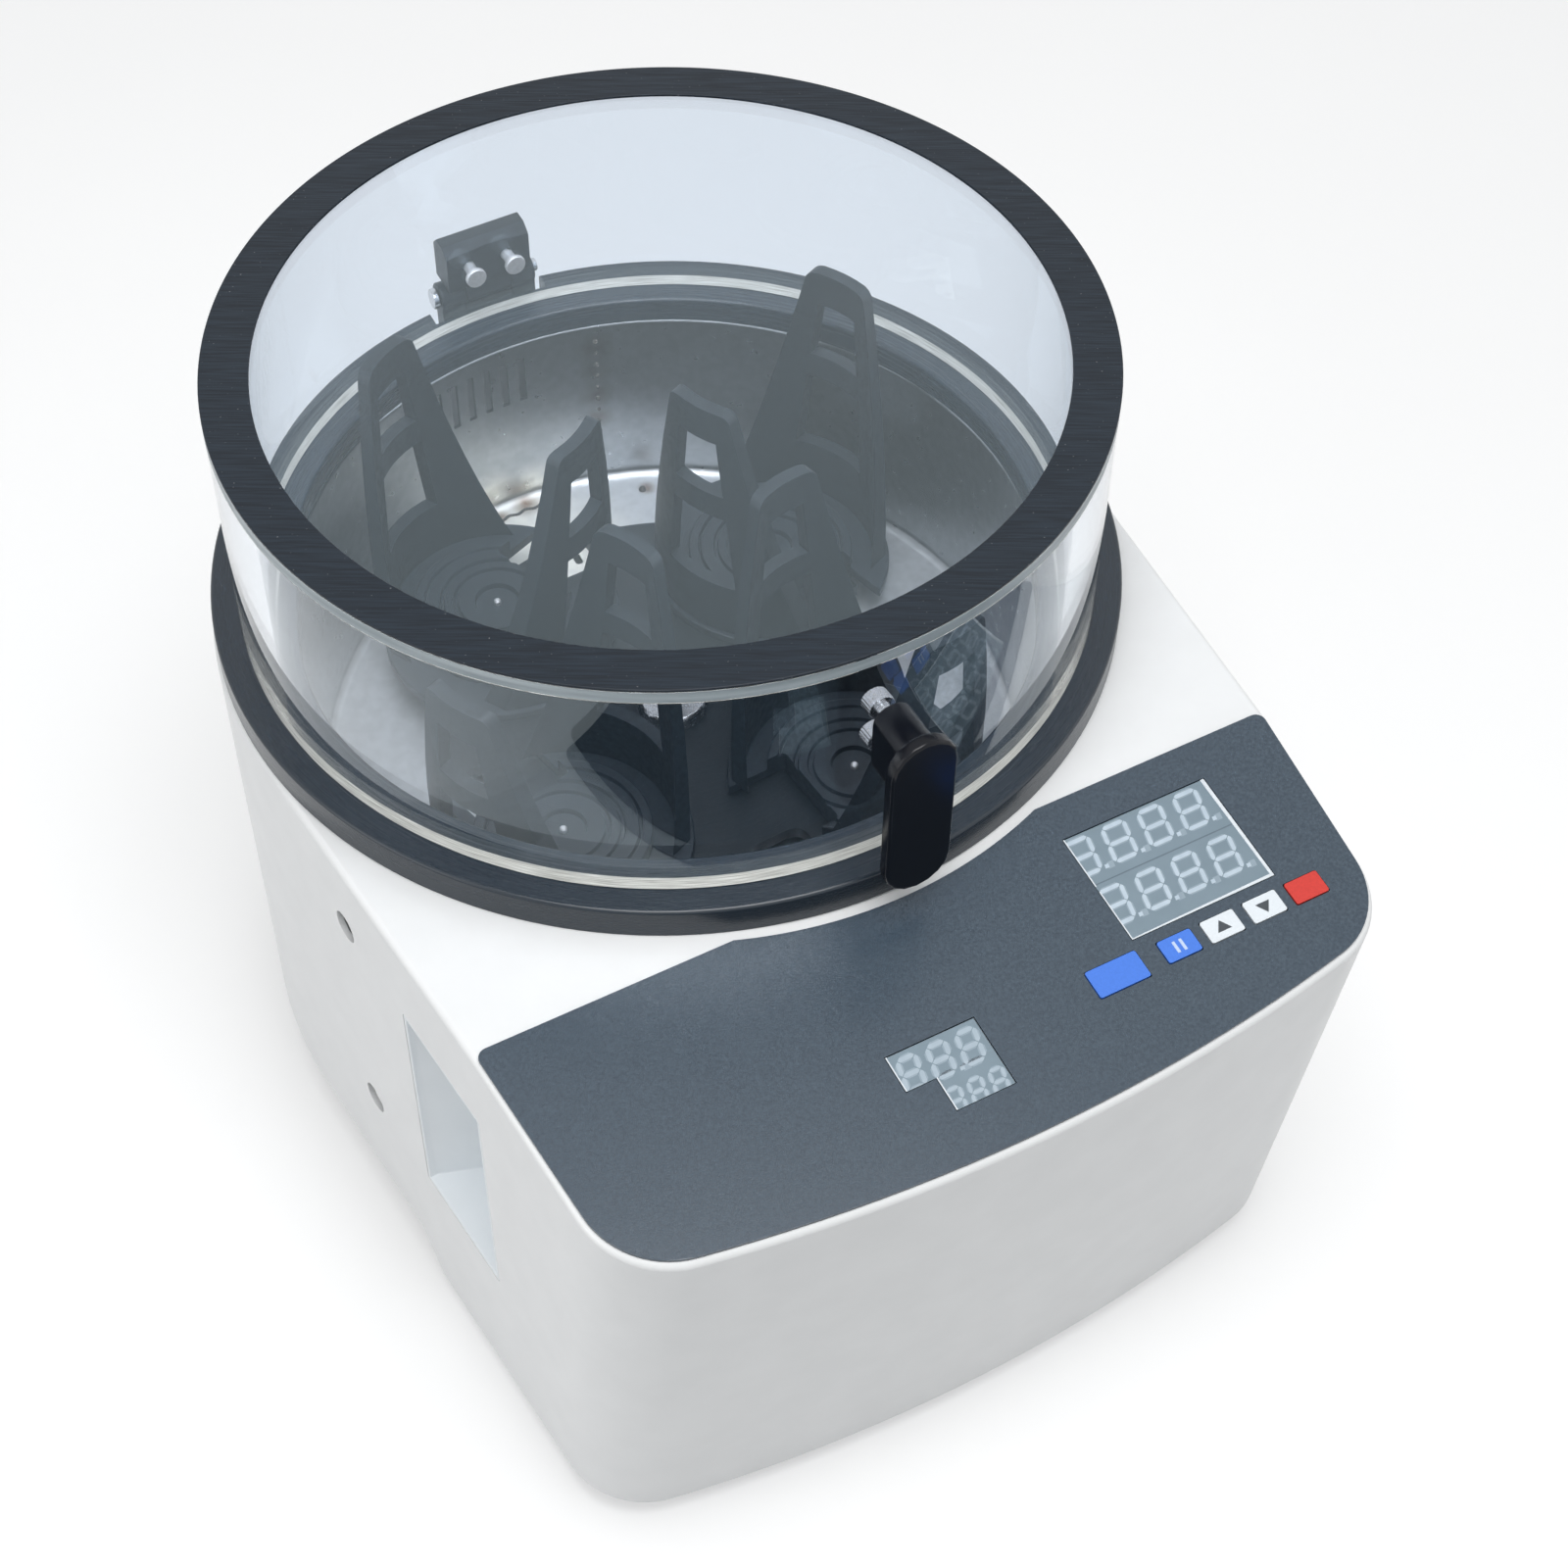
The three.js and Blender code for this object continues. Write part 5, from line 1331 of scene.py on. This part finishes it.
@dataclass
class Ring:
    """The black base ring and the steel bowl under it."""

    top: float = 217
    gap: float = 0.3
    radius: float = 160
    bore: float = 132
    height: float = 12
    lip: float = 14
    sheet: float = 1.5
    round: float = 1.2
    round_steps: int = 4
    notch_half: float = 24
    notch_radius: float = 151
    floor: float = 139
    floor_thick: float = 2
    neck: float = 20
    fold: float = 1.4
    fold_steps: int = 6
    knee: float = 4
    knee_steps: int = 8
    steps: int = 192
    wall_slots: SlotRow = SlotRow(7, 128, 140, 3.1, 88, 3.2)
    wall_span: Point2 = (190, 211)
    floor_slots: SlotRow = SlotRow(12, 87.5, 100.5, 3, 57, 5)
    slot_past: float = 4
    level: float = 0.6  # the least upward part of a floor face's normal
    crease: float = 60  # degrees, between the facets of a bead

    wall_weld: float = 75  # direction from the axis, degrees
    wall_beads: int = 12
    wall_sunk: float = 0.1
    wall_first: float = 8
    wall_pitch: float = 5.8
    wall_bead: Point2 = (0.85, 0.2)  # radius and how much it varies
    wall_beat: float = 2.4  # radians from bead to bead
    floor_beads: int = 22
    floor_first: float = 86.5
    floor_pitch: float = 0.48
    floor_reach: Point2 = (124.5, 0.5)  # distance from the axis and how much it varies
    floor_beat: float = 0.9
    floor_bead: float = 0.7
    lone_place: Point2 = (45, 113)
    lone_bead: float = 1.5
    bead_tall: float = 1.2  # height as a share of width

    def build(self) -> None:
        """Builds and dresses both."""
        self.build_ring()
        self.build_bowl()
        self.build_welds()

    def build_ring(self) -> None:
        """The ring, with its notch for the hinge."""
        high, low, lip = self.top + self.height, self.top + self.gap, self.bore + self.lip + self.gap
        under, edge = low + self.sheet + self.gap, high - self.round
        outer = arc(self.radius - self.round, edge, self.round, 0, QUARTER, self.round_steps)
        inner = arc(self.bore + self.round, edge, self.round, QUARTER, HALF_TURN, self.round_steps)
        profile = [(lip, low), (self.radius, low), *outer, *inner, (self.bore, under), (lip, under)]
        ring = turned("ring", profile, self.steps)
        notch = rectangle(-self.notch_half, self.notch_half, self.notch_radius, self.radius + self.lip)
        trim(ring, [prism("notch", notch, low - self.lip, high + self.lip)])
        smooth(ring)
        SHOP.hand_over(ring, "housing", "black_anodised", BLACK_RING, replaces=["base_ring"])

    def build_bowl(self) -> None:
        """The bowl, with its wall slots and floor slots."""
        outer, low = self.bore + self.sheet, self.floor - self.floor_thick
        rim = self.top + self.gap + self.sheet
        fold = arc(self.bore + self.fold, rim - self.fold, self.fold, HALF_TURN, QUARTER, self.fold_steps)
        knee = arc(self.bore - self.knee, self.floor + self.knee, self.knee, 0, -QUARTER, self.knee_steps)
        lip = self.bore + self.lip
        profile = [
            (self.neck, low), (outer, low), (outer, rim - self.sheet), (lip, rim - self.sheet), (lip, rim),
            *fold[::-1], *knee, (self.neck, self.floor),
        ]
        bowl = turned("bowl_steel_work", profile, self.steps)
        cutters = self.wall_slots.cutters(*self.wall_span)
        cutters += self.floor_slots.cutters(low - self.slot_past, self.floor + self.slot_past)
        smooth(trim(bowl, cutters))
        on_floor = self.floor + self.floor_thick
        # The floor's upward faces take the paler copy of the steel: painted light from above.
        two_finishes(bowl, lambda face: face.normal.z > self.level and face.center.z < on_floor)
        SHOP.hand_over(bowl, "housing", "stainless", STEEL_BOWL, STEEL_FLOOR_PAINTED_LIGHT, replaces=["bowl"])

    def build_welds(self) -> None:
        """Weld beads down the wall and along the floor's edge."""
        angle, reach = math.radians(self.wall_weld), self.bore - self.wall_sunk
        radius, swell = self.wall_bead
        beads = []
        for i in range(self.wall_beads):
            height = self.floor + self.wall_first + i * self.wall_pitch
            size = radius + swell * math.sin(i * self.wall_beat)
            beads.append(self.bead(reach * math.cos(angle), reach * math.sin(angle), height, size))
        for i in range(self.floor_beads):
            angle = math.radians(self.floor_first + i * self.floor_pitch)
            reach = self.floor_reach[0] + self.floor_reach[1] * math.sin(i * self.floor_beat)
            x, y = reach * math.cos(angle), reach * math.sin(angle)
            beads.append(self.bead(x, y, self.floor, self.floor_bead))
        beads.append(self.bead(*self.lone_place, self.floor, self.lone_bead))
        weld = smooth(joined(beads, "weld_beads"), self.crease)
        SHOP.hand_over(weld, "housing", "stainless", WELD_STEEL)

    def bead(self, x: float, y: float, z: float, radius: float) -> Object:
        """One blob of weld, a little taller than wide."""
        mesh = bmesh.new()
        bmesh.ops.create_icosphere(mesh, subdivisions=2, radius=radius)
        bmesh.ops.scale(mesh, vec=(1, 1, self.bead_tall), verts=mesh.verts)
        bmesh.ops.translate(mesh, vec=(x, y, z), verts=mesh.verts)
        return object_from(mesh, "bead")


@dataclass
class Carrier:
    """The sun wheel, its nut and the four planet stations."""

    stations: int = 4
    gear_top: float = 146
    lift: float = 1
    thick: float = 5
    radius: float = 94
    orbit: float = 76
    first: float = 32.5
    wheel_round: float = 0.4
    trimmed: float = 89.5
    notch_in: float = 72
    notch_half: float = 11
    notch_corner: float = 5
    notch_turn: float = 60
    seat_low: float = 153.5
    seat_high: float = 157.5
    seat_radius: float = 46
    seat_edge: float = 0.5
    seat_round: float = 0.35
    platform: float = 31.5
    platform_high: float = 163
    grooves: tuple[Point2, ...] = ((28, 26.6), (22, 20), (17, 14.6))
    groove_deep: float = 1.4
    dish: float = 8.5
    dish_deep: float = 2
    screw: float = 1.3
    relief: float = 18.5
    relief_half: float = 18
    relief_corner: float = 2
    relief_turn: float = 97
    upright_round: float = 0.7
    steps: int = 128

    def build(self) -> None:
        """Builds and dresses the wheel and every station."""
        wheel = self.build_wheel()
        SHOP.hand_over(wheel, "carrier", "black_anodised", BLACK_WHEEL, replaces=["sun_wheel"])
        Finer("main_shaft", self.wheel_round, "carrier", "bright_steel", BRIGHT_STEEL).build()
        for number in range(1, self.stations + 1):
            self.build_seat(number)
            body = f"planet_{number}"
            for side in ("outer", "inner"):
                node = f"upright_{number}_{side}"
                plate = f"{node}_plate"
                Finer(node, self.upright_round, body, "black_anodised", BLACK_ANODISED, FINE, plate).build()

    def direction(self, number: int) -> float:
        """A station's direction from the axis, in radians."""
        return math.radians(self.first + (number - 1) * FULL_TURN / self.stations)

    def build_wheel(self) -> Object:
        """The wheel, a little smaller than its node and notched beside each station."""
        wheel = softened_node("sun_wheel", self.wheel_round)
        low, far = self.gear_top, self.radius + self.thick
        high = low + self.lift + self.thick + self.lift
        round_edge = arc(0, 0, self.trimmed, 0, FULL_TURN - FULL_TURN / self.steps, self.steps - 1)
        cutters = [prism("cutter", rectangle(-far, far, -far, far), low, high, [round_edge])]
        notch = rounded(self.notch_in, far, -self.notch_half, self.notch_half, self.notch_corner)
        for number in range(1, self.stations + 1):
            turn = self.direction(number) + math.radians(self.notch_turn)
            cutters.append(turned_about(prism("cutter", notch, low, high), turn))
        return smooth(trim(wheel, cutters))

    def seat_profile(self) -> list[Point2]:
        """The seat's half section: disc, grooved platform, dish and screw."""
        edge, high, dish = self.seat_edge, self.platform_high, self.platform_high - self.dish_deep
        foot, top, rim = self.seat_low, self.seat_high, self.seat_radius
        profile = [
            (0, foot), (rim - edge, foot), (rim, foot + edge), (rim, top - edge), (rim - edge, top),
            (self.platform, top), (self.platform, high - edge), (self.platform - edge, high),
        ]
        for outer, inner in self.grooves:
            cut = high - self.groove_deep
            profile += [(outer, high), (outer - edge, cut), (inner + edge, cut), (inner, high)]
        return [
            *profile, (self.dish, high), (self.dish - edge, dish), (self.screw, dish),
            (self.screw, high - edge), (self.screw - edge, high), (0, high),
        ]

    def build_seat(self, number: int) -> None:
        """One seat: a grooved disc with a centre screw and one relieved side, over its shaft and gear.

        Args:
            number: the station's number.
        """
        node, station = f"planet_seat_{number}", self.direction(number)
        centre = Vector((self.orbit * math.cos(station), self.orbit * math.sin(station), 0))
        place = Matrix.Translation(centre)
        far, edge, high = self.seat_radius + self.seat_edge, self.seat_edge, self.platform_high
        gear = softened_node(node, self.seat_round)
        above = prism("cutter", rectangle(-far, far, -far, far), self.seat_low, high + far)
        trim(gear, [moved(above, place)])
        seat = turned(node, self.seat_profile(), self.steps)
        side = rounded(self.relief, far, -self.relief_half, self.relief_half, self.relief_corner)
        relief = prism("cutter", side, self.seat_low - edge, high + far)
        trim(seat, [turned_about(relief, self.facing(number) - math.radians(self.relief_turn))])
        smooth(moved(seat, place))
        reach, low = self.screw + edge, high - self.dish_deep + edge
        two_finishes(
            seat, lambda face: (face.center - centre).to_2d().length < reach and face.center.z > low
        )
        seat = joined([gear, seat], f"{node}_fine")
        SHOP.hand_over(seat, f"planet_{number}", "black_anodised", BLACK_SEAT, SATIN_STEEL, replaces=[node])

    @staticmethod
    def facing(number: int) -> float:
        """The direction from a station's inner upright to its outer one, in radians."""
        middles = []
        for side in ("inner", "outer"):
            low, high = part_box(f"upright_{number}_{side}")
            middles.append((Vector(low) + Vector(high)) / 2)
        way = middles[1] - middles[0]
        return math.atan2(way.y, way.x)


@dataclass
class Lid:
    """The clear lid: tube, disc and brushed band."""

    radius: float = 150.5
    wall: float = 10
    low: float = 229.3
    top: float = 324.5
    band: float = 0.9
    disc: float = 4.4
    gap: float = 0.3
    band_bore: float = 134.2
    outer_round: float = 0.4
    bore_round: float = 0.3
    round_steps: int = 3
    downward: float = 0.9  # the least downward part of the milled end's normal
    sideways: float = 0.5  # the greatest upward part of the rim's normal
    steps: int = 256

    def build(self) -> None:
        """Builds and dresses the tube, the disc and the band."""
        high = self.top - self.band - self.disc - 2 * self.gap
        tube = smooth(self.pipe("tube_wall", self.radius - self.wall, self.low, high))
        two_finishes(tube, lambda face: face.normal.z < -self.downward)
        SHOP.hand_over(tube, "lid", "clear_acrylic", CLEAR_ACRYLIC, MILLED_ACRYLIC, replaces=["lid_tube"])
        low = high + self.gap
        disc = smooth(self.pipe("top_disc", 0, low, low + self.disc))
        two_finishes(disc, lambda face: abs(face.normal.z) < self.sideways)
        SHOP.hand_over(disc, "lid", "clear_acrylic", CLEAR_ACRYLIC, FROSTED_ACRYLIC, replaces=["lid_disc"])
        under, out, bore = self.top - self.band, self.outer_round, self.bore_round
        round_out = arc(self.radius - out, self.top - out, out, 0, QUARTER, self.round_steps)
        round_in = arc(self.band_bore + bore, self.top - bore, bore, QUARTER, HALF_TURN, self.round_steps)
        profile = [(self.band_bore, under), (self.radius, under), *round_out, *round_in]
        band = smooth(turned("top_band", profile, self.steps))
        SHOP.hand_over(band, "lid", "black_brushed", BLACK_BRUSHED, replaces=["lid_band"])

    def pipe(self, name: str, bore: float, low: float, high: float) -> Object:
        """A round of the lid's radius between two heights."""
        return turned(name, [(bore, low), (self.radius, low), (self.radius, high), (bore, high)], self.steps)


@dataclass
class Fittings:
    """The handle, its screws and the hinge."""

    pieces: tuple[Finer, ...] = (
        Finer("handle", 1.1, "lid", "black_plastic", BLACK_GLOSS, 4),
        Finer("handle_screw_lower", 0.25, "lid", "bright_steel", BRIGHT_STEEL),
        Finer("handle_screw_upper", 0.25, "lid", "bright_steel", BRIGHT_STEEL),
        Finer("hinge_screw_left", 0.35, "lid", "bright_steel", SATIN_STEEL),
        Finer("hinge_screw_right", 0.35, "lid", "bright_steel", SATIN_STEEL),
        Finer("hinge_leaf", 0.5, "lid", "black_anodised", BLACK_ANODISED, FINE),
        Finer("hinge_base", 0.5, "housing", "black_anodised", BLACK_ANODISED, FINE),
        Finer("hinge_pin", 0.5, "housing", "bright_steel", BRIGHT_STEEL, FINE),
    )

    def build(self) -> None:
        """Builds and dresses every fitting."""
        for piece in self.pieces:
            piece.build()


@dataclass
class Works:
    """Everything under the bowl and behind the sheet, and the mains side."""

    dressed: tuple[tuple[Finish, tuple[str, ...]], ...] = (
        (ZINC_STEEL, ("base_plate", "deck_frame", "motor_bracket", "fixed_sun_gear")),
        (ZINC_STEEL, tuple(f"idler_gear_{number}" for number in range(1, 5))),
        (CAST_METAL, ("bearing_housing", "driven_pulley", "motor", "motor_pulley")),
        (BRIGHT_STEEL, ("bearing_upper", "bearing_lower")),
        (RUBBER, ("drive_belt",)),
        (BLACK_MOULDED, ("drive_unit",)),
        (BOARD_GREEN, ("control_board",)),
    )
    feet: tuple[str, ...] = ("front_left", "front_right", "rear_left", "rear_right")
    foot_round: float = 1.0
    mains: tuple[Finer, ...] = (
        Finer("power_inlet", 0.4, "housing", "black_plastic", BLACK_MOULDED),
        Finer("mains_rocker", 0.5, "rocker", "black_plastic", BLACK_GLOSS),
    )

    def build(self) -> None:
        """Dresses the carried-over nodes and builds the feet and the mains inlet."""
        for finish, nodes in self.dressed:
            for node in nodes:
                SHOP.dress(node, finish)
        for place in self.feet:
            Finer(f"foot_{place}", self.foot_round, "housing", "rubber", RUBBER, FINE).build()
        for piece in self.mains:
            piece.build()


# The studio


@dataclass(frozen=True)
class Lamp:
    """A soft square lamp aimed at a point; lengths in millimetres, power in watts."""

    name: str
    place: Point3
    target: Point3
    size: float
    power: float

    def build(self) -> None:
        """Hangs the lamp."""
        data = bpy.data.lights.new(self.name, "AREA")
        data.size = self.size * MM
        data.energy = self.power
        light = bpy.data.objects.new(self.name, data)
        here, there = (Vector(point) * MM + OFFSET for point in (self.place, self.target))
        aim = (there - here).to_track_quat("-Z", "Y").to_matrix().to_4x4()
        light.matrix_world = Matrix.Translation(here) @ aim
        bpy.context.scene.collection.objects.link(light)


@dataclass
class Studio:
    """The camera, the floor and the lights."""

    eye: Point3 = (-311.2, -630.6, 946.3)
    right: Point3 = (0.8753, -0.4835, 0.0117)
    up: Point3 = (0.3653, 0.6768, 0.6391)
    back: Point3 = (-0.3169, -0.5551, 0.769)
    lens: float = 65.1
    sensor: float = 36
    floor_size: float = 6.0  # metres
    paper: Finish = Finish("floor_paper", (0.63, 0.63, 0.63), (0.62, 0.62, 0.62), 0.9, scale=3, bump=0.0)
    floor_glow: float = 0.45
    world_level: float = 0.36
    world_colour: Colour = (0.95, 0.98, 1.0)
    lamps: tuple[Lamp, ...] = (
        Lamp("key_light", (-80, -380, 1500), (0, 0, 200), 850, 13.8),
        Lamp("left_light", (-1500, -100, 800), (0, 0, 150), 900, 4.6),
        Lamp("right_light", (1500, -900, 700), (0, 0, 150), 900, 1.6),
    )

    def build(self) -> None:
        """Sets up the whole studio."""
        self.build_camera()
        self.build_floor()
        self.build_world()
        for lamp in self.lamps:
            lamp.build()
        bpy.context.scene.view_settings.view_transform = "Standard"

    def build_camera(self) -> None:
        """The camera at the photograph's place and angle."""
        data = bpy.data.cameras.new("camera")
        data.lens = self.lens
        data.sensor_width = self.sensor
        data.sensor_fit = "AUTO"
        camera = bpy.data.objects.new("camera", data)
        right, up, back = (Vector(v).normalized() for v in (self.right, self.up, self.back))
        place = Matrix((right, up, back)).transposed().to_4x4()
        place.translation = Vector(self.eye) * MM + OFFSET
        camera.matrix_world = place
        bpy.context.scene.collection.objects.link(camera)
        bpy.context.scene.camera = camera

    def build_floor(self) -> None:
        """A plain pale floor."""
        half = self.floor_size / 2
        mesh = bmesh.new()
        mesh.faces.new([mesh.verts.new((x, y, 0)) for x, y in rectangle(-half, half, -half, half)])
        floor = object_from(mesh, "floor")
        paper = self.paper.build()
        tree = paper.node_tree
        share = self.seen_share(tree)
        level = wired(tree, "ShaderNodeMath", {0: share, 1: self.floor_glow}, operation="MULTIPLY")
        glow = wired(tree, "ShaderNodeEmission", {"Strength": level.outputs[0]})
        plain = tree.nodes["Principled BSDF"].outputs[0]
        both = wired(tree, "ShaderNodeAddShader", {0: plain, 1: glow.outputs[0]})
        tree.links.new(both.outputs[0], tree.nodes["Material Output"].inputs["Surface"])
        floor.data.materials.append(paper)

    @staticmethod
    def seen_share(tree: NodeTree) -> NodeSocket:
        """One for rays from the camera, off mirrors and through glass, and nought for the rest."""
        rays = tree.nodes.new("ShaderNodeLightPath").outputs
        share = rays["Is Camera Ray"]
        for ray in ("Is Glossy Ray", "Is Transmission Ray"):
            share = wired(tree, "ShaderNodeMath", {0: share, 1: rays[ray]}, operation="MAXIMUM").outputs[0]
        return share

    def build_world(self) -> None:
        """Even light, and white to the camera, to mirrors and through glass."""
        world = bpy.data.worlds.new("studio")
        world.use_nodes = True
        tree = world.node_tree
        shade = {"Color": (*self.world_colour, 1), "Strength": self.world_level}
        even = feed(tree, tree.nodes["Background"], shade)
        seen = wired(tree, "ShaderNodeBackground", {"Color": (1, 1, 1, 1)})
        shares = {0: self.seen_share(tree), 1: even.outputs[0], 2: seen.outputs[0]}
        choice = wired(tree, "ShaderNodeMixShader", shares)
        tree.links.new(choice.outputs[0], tree.nodes["World Output"].inputs["Surface"])
        bpy.context.scene.world = world


def main() -> None:
    """Builds the studio and every sub-assembly in turn."""
    logging.basicConfig(level=logging.INFO, format="%(message)s")
    Studio().build()
    housing = Housing()
    console = Console(housing)
    pocket = Pocket(housing)
    housing.build(console.windows(), pocket)
    pocket.build()
    console.build()
    Ring().build()
    Carrier().build()
    Lid().build()
    Fittings().build()
    Works().build()


if __name__ == "__main__":
    main()
    bpy.context.view_layer.update()
